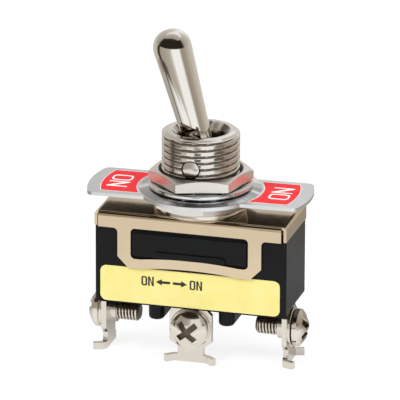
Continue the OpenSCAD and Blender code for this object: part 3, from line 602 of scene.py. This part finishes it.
PIN_PLACE = Matrix.Translation((0, 0, PIVOT)) @ ALONG_Y
bushing_mesh = carve(lathe(wall, 192, bushing_thread), [moved(rod(1.475, 14), PIN_PLACE)])
bushing = piece("bushing_threaded", bushing_mesh, turned_nickel, "switch_body",
                ("bushing",), crease=50)
SHADE_SLOT, MOUTH, FLANK = 1, 2, 3
for finish in (hollow_shade, mouth_painted_fan, flank_shade_nickel):
    bushing.data.materials.append(finish)
for polygon in bushing.data.polygons:
    place = polygon.center / MM
    r = math.hypot(place.x, place.y)
    # painted shade: the deep hole gets the near-black finish
    if r < HOLE_R - 0.2:
        polygon.material_index = SHADE_SLOT
    # painted shade: the thread's lower flanks get the dark dull nickel
    elif 5.5 < r < THREAD_R - 0.003 and polygon.normal.z < -0.05 and place.z < thread_high:
        polygon.material_index = FLANK
    elif r < MOUTH_R and place.z > RIM - 1.5:
        polygon.material_index = MOUTH
print("bushing:", len(bushing.data.polygons), "faces")

# %% [markdown]
# The pivot pin is a short ground rod pressed through the bushing. Only its ends show, so
# they get the chamfer and the slightly domed face that a cut and tumbled pin has.

# %% Pivot pin
PIN_R, PIN_HALF = 1.32, 5.88
pin_end = [(PIN_R, PIN_HALF - 0.28), (PIN_R - 0.04, PIN_HALF - 0.14),
           (PIN_R - 0.22, PIN_HALF - 0.04), (0, PIN_HALF)]
pin_line = [(r, -z) for r, z in reversed(pin_end)] + pin_end
pin = piece("pivot_pin_ground", moved(lathe(pin_line, 64), PIN_PLACE), ground_steel,
            "switch_body", ("pivot_pin",))
print("pin:", len(pin.data.polygons), "faces")

# %% [markdown]
# ## Nuts
# A hexagon nut is cut from bar and its corners are turned off, which leaves a curved line
# on each flat. A bevel on a six-sided prism would give straight lines instead. Taking the
# common part of the prism and a turned blank gives exactly the real ones. The bore has no
# thread of its own, because the bushing's thread fills it. Its countersink and bore get a
# near-black finish, a painted shade that draws a clear ring round the bushing.

# %% Nuts
FLAT_R, FACE_R, NUT_BORE_R, SINK_R = 7.0, 6.9, 6.02, 6.5


def hexagon_nut(node, turn, both=False):
    """A nut as high as its node, turned by so many degrees, turned off above or on both sides."""
    low, high = (corner.z for corner in span(node))
    corner_r = FLAT_R / math.cos(math.radians(30))
    outer_r = corner_r + 0.3
    drop = (corner_r - FACE_R) * math.tan(math.radians(30))
    foot = [(FACE_R, low), (outer_r, low + drop)] if both else [(outer_r, low)]
    line = [(NUT_BORE_R, low + 0.1), (NUT_BORE_R + 0.08, low)] + foot
    line += [(outer_r, high - drop), (FACE_R, high), (SINK_R + 0.12, high),
             (SINK_R, high - 0.06), (NUT_BORE_R, high - 0.6)]
    points = [(corner_r * math.cos(math.radians(turn + 60 * i)),
               corner_r * math.sin(math.radians(turn + 60 * i))) for i in range(6)]
    nut = carve(lathe(line, 144), [slab(points, low - 1, high + 1)], "INTERSECT")
    # painted shade: the countersink and bore get the near-black finish
    for face in nut.faces:
        place = face.calc_center_median()
        if math.hypot(place.x, place.y) < SINK_R and low < place.z < high - 0.02:
            face.material_index = SHADE_SLOT
    return nut


panel_nut = piece("panel_nut_hex", hexagon_nut("panel_nut", 17), satin_nickel, "nut_turn",
                  ("panel_nut",), bevel=0.05, crease=25)
backing_nut = piece("backing_nut_hex", hexagon_nut("backing_nut", 48, True), satin_nickel,
                    "switch_body", ("backing_nut",), bevel=0.05, crease=25)
for nut in (panel_nut, backing_nut):
    nut.data.materials.append(hollow_shade)
print("nuts:", [len(nut.data.polygons) for nut in (panel_nut, backing_nut)], "faces")

# %% [markdown]
# ## Lock washer
# The washer is a ring of spring steel with twisted teeth on its inner edge, which bite into
# the nut and the plate. Its outer edge was sheared and tumbled, so it is rounded, and
# that round edge is what shows: it draws a bright line below the nut. The teeth are small
# slanted blocks joined to the ring. The gap behind them lies in shade, so a plain
# near-black core stands for it as painted shade.

# %% Lock washer
WASHER_R, TOOTH_ROOT_R, EDGE_R, TEETH = 8.0, 6.9, 0.24, 10
washer_low, washer_high = (corner.z for corner in span("lock_washer"))
ring_low, ring_high = washer_low + 0.62, washer_high - 0.17
edge_mid_r = WASHER_R - EDGE_R
washer_line = [(TOOTH_ROOT_R, ring_low), (edge_mid_r, ring_low)]
washer_line += arc((edge_mid_r, ring_low + EDGE_R), EDGE_R, -75, 0, 5)
washer_line += arc((edge_mid_r, ring_high - EDGE_R), EDGE_R, 0, 75, 5)
washer_line += [(edge_mid_r, ring_high), (TOOTH_ROOT_R, ring_high)]
teeth = []
for index in range(TEETH):
    tooth = moved(block((1.0, 2.2, 0.55), (6.7, 0, 0)), about("X", 17))
    lift = Matrix.Translation((0, 0, (ring_low + ring_high) / 2 - 0.1))
    teeth.append(moved(tooth, lift @ about("Z", (index + 0.5) * 360 / TEETH)))
piece("lock_washer_toothed", carve(lathe(washer_line, 144), teeth, "UNION"), blue_zinc,
      "lock_washer_lift", ("lock_washer",), bevel=0.03)
# a near-black ring behind the teeth: painted shade for the gap
CORE_IN_R, CORE_OUT_R = 6.15, 7.2
core_line = [(CORE_IN_R, washer_low + 0.3), (CORE_OUT_R, washer_low + 0.3),
             (CORE_OUT_R, washer_high), (CORE_IN_R, washer_high)]
piece("lock_washer_shade_core", lathe(core_line, 96), hollow_shade, "lock_washer_lift")
print("lock washer:", len(teeth), "teeth")

# %% [markdown]
# ## Legend plate
# The plate is thin anodised aluminium sheet, blanked in one stroke to a round middle with
# two wings, whose ends follow a larger circle. It is drawn as that one outline and given
# its thickness. Where the nuts clamp it, the middle is pressed up into a shallow dish,
# which catches the light in its own way, so it is joined on and gets its own finish.

# %% Legend plate
DISC_R, WING_R, WING_HALF, CORNER_R, PLATE_BORE_R = 9.6, 17.35, 6.0, 1.2, 6.05
FACE = PLATE_TOP + 0.11
DISH_R, DISH_HIGH = 9.4, 0.36


def on_plate(mesh):
    """The plate sits two degrees askew under its nut, and all that is on it with it."""
    return moved(mesh, about("Z", 2))


def wing_outline():
    """The plate's outline, counter-clockwise from the right wing's lower edge."""
    corner_y = WING_HALF - CORNER_R
    corner_x = math.sqrt((WING_R - CORNER_R) ** 2 - corner_y ** 2)
    lean = math.degrees(math.atan2(corner_y, corner_x))
    join = math.degrees(math.asin(WING_HALF / DISC_R))
    half = arc((corner_x, -corner_y), CORNER_R, -90, -lean, 8)
    half += arc((0, 0), WING_R, -lean, lean, 24)[1:-1]
    half += arc((corner_x, corner_y), CORNER_R, lean, 90, 8)
    half += arc((0, 0), DISC_R, join, 180 - join, 48)
    return half + [(-x, -y) for x, y in half]


bore = arc((0, 0), PLATE_BORE_R, 0, 357, 119)
dish = lathe([(PLATE_BORE_R, SEAT + 0.1), (DISH_R, SEAT + 0.1), (DISH_R, FACE),
              (DISH_R - 0.5, FACE + 0.1), (DISH_R - 1.1, FACE + 0.3),
              (DISH_R - 1.5, FACE + DISH_HIGH), (PLATE_BORE_R, FACE + DISH_HIGH)], 144)
plate_mesh = carve(slab(wing_outline(), SEAT - 0.04, FACE, [bore]), [dish], "UNION")
plate = piece("legend_plate_sheet", on_plate(plate_mesh), anodised_sheet, "switch_body",
              ("legend_plate",), bevel=0.07, segments=3)
UNDERSIDE, DISH = 1, 2
# the dish's finish carries a painted reflection fan
for finish in (dark_underside, dish_painted_fan):
    plate.data.materials.append(finish)
# the underside gets the dull dark finish
for polygon in plate.data.polygons:
    if polygon.normal.z < -0.9:
        polygon.material_index = UNDERSIDE
    elif polygon.center.z > (FACE + 0.02) * MM:
        polygon.material_index = DISH
print("plate:", len(plate.data.polygons), "faces")

# %% [markdown]
# Each wing has a red enamel field with a thin white line round it, and a condensed white
# ON whose tops point at the bushing. A font could set the word, but its widths would be
# another's. Two drawn letters have the right ones, and the label can use them as well.

# %% Field and letter shapes
def field_outline(grow=0.0):
    """The right wing's field, between two arcs, grown by so much on every side."""
    half_width, inner, outer = 4.73 + grow, 9.8 - grow, 15.25 + grow
    a = math.degrees(math.asin(half_width / outer))
    b = math.degrees(math.asin(half_width / inner))
    return arc((0, 0), outer, -a, a, 24) + arc((0, 0), inner, b, -b, 24)


def letter_strokes(half=1.22, tall=1.62, stroke=0.36, gap=0.5):
    """A condensed O and N of half width and half height, their tops along +Y.
    Each is an outline and, for the O, its hole."""
    shift = half + gap / 2
    curve = half * 0.65
    outer = []
    for quarter, (x, y) in enumerate(((1, 1), (-1, 1), (-1, -1), (1, -1))):
        outer += arc((x * (half - curve), y * (tall - curve)), curve, 90 * quarter,
                     90 * quarter + 90, 8)
    fx, fy = (half - stroke) / half, (tall - stroke * 0.8) / tall
    letter_o = ([(x - shift, y) for x, y in outer], [(x * fx - shift, y * fy) for x, y in outer])
    notch = half - stroke
    right_half = [(notch, -tall), (half, -tall), (half, tall), (notch, tall),
                  (notch, -tall * 0.42)]
    n = right_half + [(-x, -y) for x, y in right_half]
    return letter_o, ([(x + shift, y) for x, y in n], None)


print("letters:", [len(outline) for outline, hole in letter_strokes()], "points")

# %% Enamel fields, lines and letters
ENAMEL_HIGH, LINE_W, LINE_HIGH, LETTER_HIGH, LETTER_R = 0.05, 0.1, 0.04, 0.03, 12.6
fields = [slab([(side * x, side * y) for x, y in field_outline()], FACE, FACE + ENAMEL_HIGH)
          for side in (1, -1)]
piece("enamel_fields", on_plate(carve(fields[0], [fields[1]], "UNION")), red_enamel,
      "switch_body", ("red_fields",))
for side, label in ((1, "right"), (-1, "left")):
    loops = [[(side * x, side * y) for x, y in field_outline(grow)] for grow in (LINE_W, 0)]
    rim = slab(loops[0], FACE, FACE + LINE_HIGH, loops[1:])
    piece(f"field_line_{label}", on_plate(rim), white_print, "switch_body")
    place = Matrix.Translation((side * LETTER_R, 0, FACE + ENAMEL_HIGH)) @ about("Z", side * 90)
    for letter, (outline, hole) in zip("ON", letter_strokes()):
        mesh = slab(outline, 0, LETTER_HIGH, [hole] if hole else ())
        piece(f"letter_{letter}_{label}", on_plate(moved(mesh, place)), white_print,
              "switch_body")
print("letters' tops at", round(FACE + ENAMEL_HIGH + LETTER_HIGH, 2), "mm")

# %% [markdown]
# ## Terminal screws
# Each terminal has an M3 pan head screw with a cross recess. The recess is punched, so the
# head's metal is pushed down a little round the end of each arm. The head and shank are
# turned from one line, the shank gets a real thread of 0.5 mm pitch, and the cross is cut
# with two blocks and four small leaning ones. Whatever lies deep gets a brown painted shade.

# %% Screw profile
HEAD_R, HEAD_H, HEAD_RIM, SHANK_R, SHANK_L, SCREW_PITCH = 2.9, 2.1, 0.8, 1.5, 6.0, 0.5
dome_h = HEAD_H - HEAD_RIM
DOME_R = (HEAD_R ** 2 + dome_h ** 2) / (2 * dome_h)
screw_line = [(0, -SHANK_L), (1.1, -SHANK_L), (1.46, -SHANK_L + 0.35)]
thread_first = len(screw_line)
rows = int((SHANK_L - 0.75) / (SCREW_PITCH / 8))
screw_line += [(SHANK_R, -SHANK_L + 0.38 + (SHANK_L - 0.78) * i / rows) for i in range(rows + 1)]
thread_last = len(screw_line)
screw_line += [(1.3, -0.3), (1.3, 0), (HEAD_R - 0.15, 0), (HEAD_R, 0.15),
               (HEAD_R, HEAD_RIM - 0.1)]
for i in range(16):
    angle = math.asin(HEAD_R / DOME_R) * (1 - i / 16)
    screw_line.append((DOME_R * math.sin(angle), HEAD_H - DOME_R + DOME_R * math.cos(angle)))
screw_line.append((0, HEAD_H))
print("screw profile:", len(screw_line), "points, dome of", round(DOME_R, 2), "mm")


# %% Screw shape
def screw_thread(angle, index):
    """The groove's depth at a point of the shank."""
    if not thread_first <= index < thread_last:
        return 0.0
    z = screw_line[index][1]
    depth = 0.28 * fade(z, -SHANK_L + 0.3, -0.2, 0.3)
    return thread_depth(z / SCREW_PITCH - angle / (2 * math.pi), depth, 0.25)


CROSS_L, CROSS_W, CROSS_DEEP = 3.7, 0.95, 1.7


def screw_mesh():
    """A screw along +Z, head upward, with the seat of its head at z = 0."""
    turn = about("Z", 40)
    cross = [moved(block(size, (0, 0, HEAD_H - 0.4)), turn)
             for size in ((CROSS_L, CROSS_W, CROSS_DEEP), (CROSS_W, CROSS_L, CROSS_DEEP))]
    for quarter in range(4):
        end = about("Z", 90 * quarter) @ Matrix.Translation((CROSS_L / 2, 0, HEAD_H - 0.16))
        cross.append(moved(block((1.5, 1.3, 0.9), (0, 0, 0)), turn @ end @ about("Y", 24)))
    screw = carve(lathe(screw_line, 72, screw_thread), cross)
    # painted shade: the recess and the thread grooves get the brown finish
    for face in screw.faces:
        place = face.calc_center_median()
        r = math.hypot(place.x, place.y)
        dome = HEAD_H - DOME_R + math.sqrt(max(0.0, DOME_R ** 2 - r ** 2))
        in_recess = r < 1.9 and 0.2 < place.z < dome - 0.45
        in_groove = place.z < -0.2 and 0.5 < r < SHANK_R - 0.12
        if in_recess or in_groove:
            face.material_index = SHADE_SLOT
    return screw


def terminal_place(label, side):
    """Takes a screw drawn along +Z to a terminal. side is -1 left, 0 common, 1 right."""
    low, high = span(f"captive_washer_{label}")
    mid = (low + high) / 2
    if side == 0:
        return Matrix.Translation((mid.x, low.y, mid.z)) @ ALONG_Y
    seat = low.x if side < 0 else high.x
    return Matrix.Translation((seat, mid.y, mid.z)) @ about("Z", 90 * side) @ ALONG_Y


print("cross recess:", CROSS_L, "mm across")

# %% Screws and captive washers
RING_IN_R, RING_OUT_R, RING_LOW, RING_HIGH = 1.62, 3.15, -0.55, -0.1
ring_line = [(RING_IN_R, RING_LOW), (RING_OUT_R - 0.1, RING_LOW), (RING_OUT_R, RING_LOW + 0.1),
             (RING_OUT_R, RING_HIGH - 0.1), (RING_OUT_R - 0.1, RING_HIGH), (RING_IN_R, RING_HIGH)]
for side, label in ((-1, "left"), (0, "common"), (1, "right")):
    place = terminal_place(label, side)
    screw = piece(f"pan_screw_{label}", moved(screw_mesh(), place), bright_zinc,
                  f"{label}_screw_turn", (f"screw_{label}",), bevel=0.04,
                  crease=38)
    screw.data.materials.append(recess_shade)
    piece(f"captive_ring_{label}", moved(lathe(ring_line, 96), place), bright_zinc,
          f"{label}_washer_travel", (f"captive_washer_{label}",))
print("screws and captive washers: 3 of each")

# %% [markdown]
# ## Label
# The label is a yellow sticker under the bracket's loop. It says only what the switch does:
# ON on either side, with an arrow to each. The rest is left plain. The words and arrows are
# thin raised ink on the paper, so they stay sharp at any size, where a picture would blur.

# %% Label
PAPER_T, INK_T = 0.09, 0.012
label_low, label_high = span("label")
label_mid_z = (label_low.z + label_high.z) / 2
half_l, half_h = (label_high.x - label_low.x) / 2, (label_high.z - label_low.z) / 2


def on_front(mesh, depth=0.0):
    """Stands a flat drawing up on the label's face: its x stays, its y becomes height."""
    front = label_low.y + 0.1 - depth
    return moved(mesh, Matrix.Translation((0, front, label_mid_z)) @ ALONG_Y)


def round_box(half_x, half_y, r):
    """A rectangle with round corners."""
    points = []
    for quarter, (x, y) in enumerate(((1, 1), (-1, 1), (-1, -1), (1, -1))):
        points += arc((x * (half_x - r), y * (half_y - r)), r, 90 * quarter,
                      90 * quarter + 90, 8)
    return points


piece("label_sheet", on_front(slab(round_box(half_l, half_h, 1.0), 0, PAPER_T)), label_paper,
      "switch_body", ("label",), bevel=0.02)
print("label:", round(2 * half_l, 1), "by", round(2 * half_h, 1), "mm")


# %% Print on the label
def letters_on(x, y):
    """ON as bold ink outlines, 1.5 mm tall."""
    return [tuple([(x + px, y + py) for px, py in loop] for loop in glyph if loop)
            for glyph in letter_strokes(0.45, 0.75, 0.25, 0.16)]


def arrow(tail, tip, y):
    """A thick arrow between two places along the label."""
    way = 1 if tip > tail else -1
    neck, shaft, barb = tip - way * 0.95, 0.2, 0.5
    return [(tail, y - shaft), (neck, y - shaft), (neck, y - barb), (tip, y),
            (neck, y + barb), (neck, y + shaft), (tail, y + shaft)][::way]


ink_y = half_h - 1.95
shapes = letters_on(-6.67, ink_y) + letters_on(0.98, ink_y)
shapes += [(arrow(-3.08, -5.36, ink_y),), (arrow(-2.68, -0.4, ink_y),)]
ink = bmesh.new()
for loops in shapes:
    data = bpy.data.meshes.new("ink")
    slab(loops[0], 0, INK_T, loops[1:]).to_mesh(data)
    ink.from_mesh(data)
    bpy.data.meshes.remove(data)
piece("label_print", on_front(ink, 0.1), label_ink, "switch_body")
print("print:", len(shapes), "shapes")

# %% [markdown]
# ## Solids that stay as they are
# The bracket, housing, terminals and the inner mechanism have the right shape as solids.
# They get their finish and, where they show, a fine bevel on each sharp edge.

# %% Finishes for the CAD nodes
finish_node("bracket", rolled_nickel, 0.08)
finish_node("housing", black_phenolic, 0.1)
finish_node("insulating_card", fibre_card)
for side in ("left", "common", "right"):
    finish_node(f"terminal_{side}", stamped_nickel, 0.06)
INSIDE = {"plunger": nylon, "plunger_spring": drawn_wire, "rocker_contact": rolled_brass,
          "rocker_rivets": coined_silver, "rocker_pin": ground_steel,
          "rocker_cradle": rolled_brass, "fixed_contact_left": coined_silver,
          "fixed_contact_right": coined_silver}
for node, finish in INSIDE.items():
    finish_node(node, finish)
print("CAD nodes finished:", 6 + len(INSIDE))

# %% [markdown]
# ## Floor
# The switch stands on a white sheet in soft light. To the camera and to mirrors the sheet
# glows a little, so that it stays white up to the edge, and a plain grey diffuse under the
# glow keeps the switch's shadow. All other rays see ordinary white paper. Behind the
# switch mirrors see less glow, a painted shade on the sheet that darkens the undersides of
# the metal.

# %% Floor
def seen_directly(tree):
    """1 for rays from the camera, from a mirror or through glass, and 0 for all others.
    The second value is the Light Path node."""
    path = add(tree, "ShaderNodeLightPath")
    seen = path.outputs["Is Camera Ray"]
    for ray in ("Is Glossy Ray", "Is Transmission Ray"):
        seen = add(tree, "ShaderNodeMath", {"operation": "MAXIMUM"}, i0=seen,
                   i1=path.outputs[ray]).outputs[0]
    return seen, path


def floor_material(lit=0.84, shade=0.14):
    """White paper. lit and shade are how strongly it glows in front and behind; the weaker glow
    behind, seen only in mirrors, is painted shade.
    """
    material, tree, place = bare_material("white_sheet")
    paper = add(tree, "ShaderNodeBsdfPrincipled", Base_Color=linear("#f4f4f4"), Roughness=0.9,
                Specular_IOR_Level=0.1)
    seen, path = seen_directly(tree)
    parts = add(tree, "ShaderNodeSeparateXYZ", i0=place)
    # painted shade: the glow seen in mirrors falls off behind the switch
    behind = add(tree, "ShaderNodeMapRange", Value=parts.outputs[1], i1=-4 * MM, i2=12 * MM,
                 i3=lit, i4=shade)
    strength = add(tree, "ShaderNodeMix", i0=path.outputs["Is Glossy Ray"], i2=lit,
                   i3=behind.outputs[0])
    glow = add(tree, "ShaderNodeEmission", Color=linear("#ffffff"),
               Strength=strength.outputs[0])
    shadow = add(tree, "ShaderNodeBsdfDiffuse", Color=linear("#8a8a8a"))
    both = add(tree, "ShaderNodeAddShader", i0=glow.outputs[0], i1=shadow.outputs[0])
    mix = add(tree, "ShaderNodeMixShader", i0=seen, i1=paper.outputs[0], i2=both.outputs[0])
    add(tree, "ShaderNodeOutputMaterial", Surface=mix.outputs[0])
    return material


floor_mesh = bmesh.new()
bmesh.ops.create_grid(floor_mesh, x_segments=4, y_segments=4, size=3.0)
floor = as_object(floor_mesh, "floor")
floor.data.materials.append(floor_material())
print("floor:", [round(v, 2) for v in floor.dimensions])

# %% [markdown]
# ## Reflections
# Polished metal shows only what is round it, so in a studio white cards stand near it,
# with dark gaps between them that draw its edges. Separate cards would need many objects.
# Here one round screen carries them all: each row is a colour ramp that runs round the
# switch, and the rows lie one above the other with soft joints. A lid closes it above, white
# at the back and dark towards the front. Only reflected rays see them: the camera and the
# light pass through.

# %% Cards round the switch
SCREEN_R, SCREEN_HIGH = 0.055, 0.12

# Each row: the height in mm where it begins, and its cards as (angle, colour). The angle
# is in degrees from the front, positive to the right.
CARD_ROWS = [
    (0, [(-180, "#8a8580"), (-75, "#b9b5ae"), (-73, "#3f372e"), (-68, "#3f372e"),
         (-66, "#c9c5be"), (-40, "#ffffff"), (60, "#ffffff"), (100, "#a29b91"),
         (140, "#b3aea6"), (180, "#8a8580")]),
    (8.5, [(-180, "#c2beb8"), (-120, "#b0aaa3"), (-75, "#bcb7b0"), (-73, "#3f372e"),
           (-68, "#3f372e"), (-65, "#bdb8b0"), (-45, "#ffffff"), (60, "#ffffff"),
           (80, "#a9a198"), (180, "#b3ada5")]),
    (14, [(-180, "#d4d0ca"), (-110, "#b9b3ab"), (-80, "#8c8378"), (-72, "#4a4036"),
          (-44, "#6b6155"), (-39, "#c4beb5"), (-27, "#cbc5bc"), (-22, "#ffffff"),
          (-4, "#ffffff"), (-1, "#39322a"), (14, "#39322a"), (17, "#ffffff"),
          (50, "#ffffff"), (54, "#3d352b"), (80, "#5c5246"), (88, "#968d82"),
          (160, "#b3aca2"), (180, "#d4d0ca")]),
    (18.2, [(-180, "#dcdad7"), (-84, "#c4bfb8"), (-80, "#3a332a"), (-66, "#4a4238"),
            (-62, "#a79f94"), (-12, "#b9b2a8"), (2, "#d8d3cc"), (8, "#ffffff"),
            (48, "#ffffff"), (62, "#a0968a"), (84, "#a89e92"), (110, "#c2b9ac"),
            (140, "#d0cac1"), (180, "#dcdad7")]),
    (56, [(-180, "#ffffff"), (-155, "#d0ccc5"), (-84, "#a8a299"), (-70, "#2b2520"),
          (80, "#2b2520"), (95, "#a8a299"), (155, "#d0ccc5"), (180, "#ffffff")]),
]
LID_CARDS = [(0.0, "#2b2520"), (0.24, "#3a332c"), (0.32, "#a8a29a"), (0.6, "#bdb8b0"),
             (0.8, "#ffffff")]
print("card rows begin at", [height for height, cards in CARD_ROWS], "mm")


# %% Card materials
def glowing(material, tree, colour, strength):
    """Finishes a material as plain coloured light."""
    glow = add(tree, "ShaderNodeEmission", Color=colour, Strength=strength)
    add(tree, "ShaderNodeOutputMaterial", Surface=glow.outputs[0])
    return material


def screen_material():
    """The rows of cards, with a joint 1.6 mm high between one row and the next."""
    material, tree, place = bare_material("studio_cards")
    parts = add(tree, "ShaderNodeSeparateXYZ", i0=place)
    back = add(tree, "ShaderNodeMath", {"operation": "MULTIPLY"}, i0=parts.outputs[1], i1=-1.0)
    turn = add(tree, "ShaderNodeMath", {"operation": "ARCTAN2"}, i0=parts.outputs[0],
               i1=back.outputs[0])
    share = add(tree, "ShaderNodeMapRange", Value=turn.outputs[0], i1=-math.pi, i2=math.pi,
                i3=0.0, i4=1.0)
    rows = [ramp(tree, share.outputs[0], [(0.5 + angle / 360, hue) for angle, hue in cards])
            for height, cards in CARD_ROWS]
    colour = rows[0]
    for (height, cards), row in zip(CARD_ROWS[1:], rows[1:]):
        step = add(tree, "ShaderNodeMapRange", {"interpolation_type": "SMOOTHSTEP"},
                   Value=parts.outputs[2], i1=(height - 0.8) * MM, i2=(height + 0.8) * MM,
                   i3=0.0, i4=1.0)
        colour = add(tree, "ShaderNodeMix", {"data_type": "RGBA"}, i0=step.outputs[0],
                     i6=colour, i7=row).outputs[2]
    return glowing(material, tree, colour, 1.05)


def lid_material():
    """The card overhead, from front to back."""
    material, tree, place = bare_material("overhead_card")
    parts = add(tree, "ShaderNodeSeparateXYZ", i0=place)
    share = add(tree, "ShaderNodeMapRange", Value=parts.outputs[1], i1=-SCREEN_R, i2=SCREEN_R,
                i3=0.0, i4=1.0)
    return glowing(material, tree, ramp(tree, share.outputs[0], LID_CARDS), 1.0)


screen_mesh = bmesh.new()
bmesh.ops.create_cone(screen_mesh, cap_ends=False, segments=128, radius1=SCREEN_R,
                      radius2=SCREEN_R, depth=SCREEN_HIGH,
                      matrix=Matrix.Translation((0, 0, SCREEN_HIGH / 2 + 0.5 * MM)))
lid_mesh = bmesh.new()
bmesh.ops.create_circle(lid_mesh, cap_ends=True, segments=64, radius=SCREEN_R,
                        matrix=Matrix.Translation((0, 0, SCREEN_HIGH)))
for name, mesh, material in (("studio_cards", screen_mesh, screen_material()),
                             ("overhead_card", lid_mesh, lid_material())):
    card = as_object(mesh, name)
    card.data.materials.append(material)
    card.visible_camera = card.visible_diffuse = card.visible_shadow = False
print("screen radius, mm:", SCREEN_R / MM)

# %% [markdown]
# ## Lights and world
# Three large soft lamps light the colours: a key from the front left, a weaker fill from the
# right, and one above and behind for the tops. Large lamps give shadows with soft edges. They
# don't show in mirrors, because the polished metal mirrors the cards alone. The world adds a
# low even light, and it is white to the camera.

# %% Lights
LIT_POINT = (0, 0, 0.02)


def soft_lamp(name, place, size, power):
    """A round lamp that points at the switch."""
    data = bpy.data.lights.new(name, "AREA")
    data.shape, data.size, data.energy = "DISK", size, power
    lamp = bpy.data.objects.new(name, data)
    bpy.context.scene.collection.objects.link(lamp)
    lamp.location = place
    way = Vector(LIT_POINT) - Vector(place)
    lamp.rotation_euler = way.to_track_quat("-Z", "Y").to_euler()
    lamp.visible_glossy = False
    return lamp


lamps = [soft_lamp("key", (-0.25, -0.45, 0.6), 0.35, 3.4),
         soft_lamp("fill", (0.5, -0.3, 0.3), 0.4, 1.3),
         soft_lamp("top", (0, 0.15, 0.7), 0.5, 2.2)]
print("lights:", [lamp.name for lamp in lamps])

# %% World
world = bpy.data.worlds.new("studio")
bpy.context.scene.world = world
world.use_nodes = True
tree = world.node_tree
tree.nodes.clear()
level = add(tree, "ShaderNodeMapRange", Value=seen_directly(tree)[0], i1=0.0, i2=1.0,
            i3=0.27, i4=1.0)
sky = add(tree, "ShaderNodeBackground", Color=linear("#ffffff"), Strength=level.outputs[0])
add(tree, "ShaderNodeOutputWorld", Surface=sky.outputs[0])
print("world:", len(tree.nodes), "nodes")

# %% [markdown]
# ## Camera
# A lens of about half a metre, from a little to the right and 19 degrees above, keeps the
# upright lines nearly parallel. A short lens close by would make them spread. The lens
# follows from the width that the view takes in at the switch.

# %% Camera
AZIMUTH, ELEVATION, ROLL, DISTANCE = 15.52, 19.11, 0.24, 0.894
VIEW_W, SENSOR_W = 61.106, 36
AIM_LEFT, AIM_UP = 0.107, 0.947
a, e = math.radians(AZIMUTH), math.radians(ELEVATION)
right = Vector((math.cos(a), math.sin(a), 0))
back = Vector((math.sin(a) * math.cos(e), -math.cos(a) * math.cos(e), math.sin(e)))
up = back.cross(right)
target = (Vector((0, 0, BRACKET_TOP)) + up * AIM_UP - right * AIM_LEFT) * MM
camera_data = bpy.data.cameras.new("camera")
camera_data.sensor_width = SENSOR_W
camera_data.lens = SENSOR_W * DISTANCE / (VIEW_W * MM)
camera_data.clip_start, camera_data.clip_end = 0.05, 20
camera = bpy.data.objects.new("camera", camera_data)
bpy.context.scene.collection.objects.link(camera)
camera.rotation_mode = "QUATERNION"
camera.location = target + back * DISTANCE
camera.rotation_quaternion = ((-back).to_track_quat("-Z", "Y")
                              @ about("Z", ROLL).to_quaternion())
bpy.context.scene.camera = camera
bpy.context.scene.view_settings.view_transform = "Standard"
print("lens:", round(camera_data.lens), "mm")
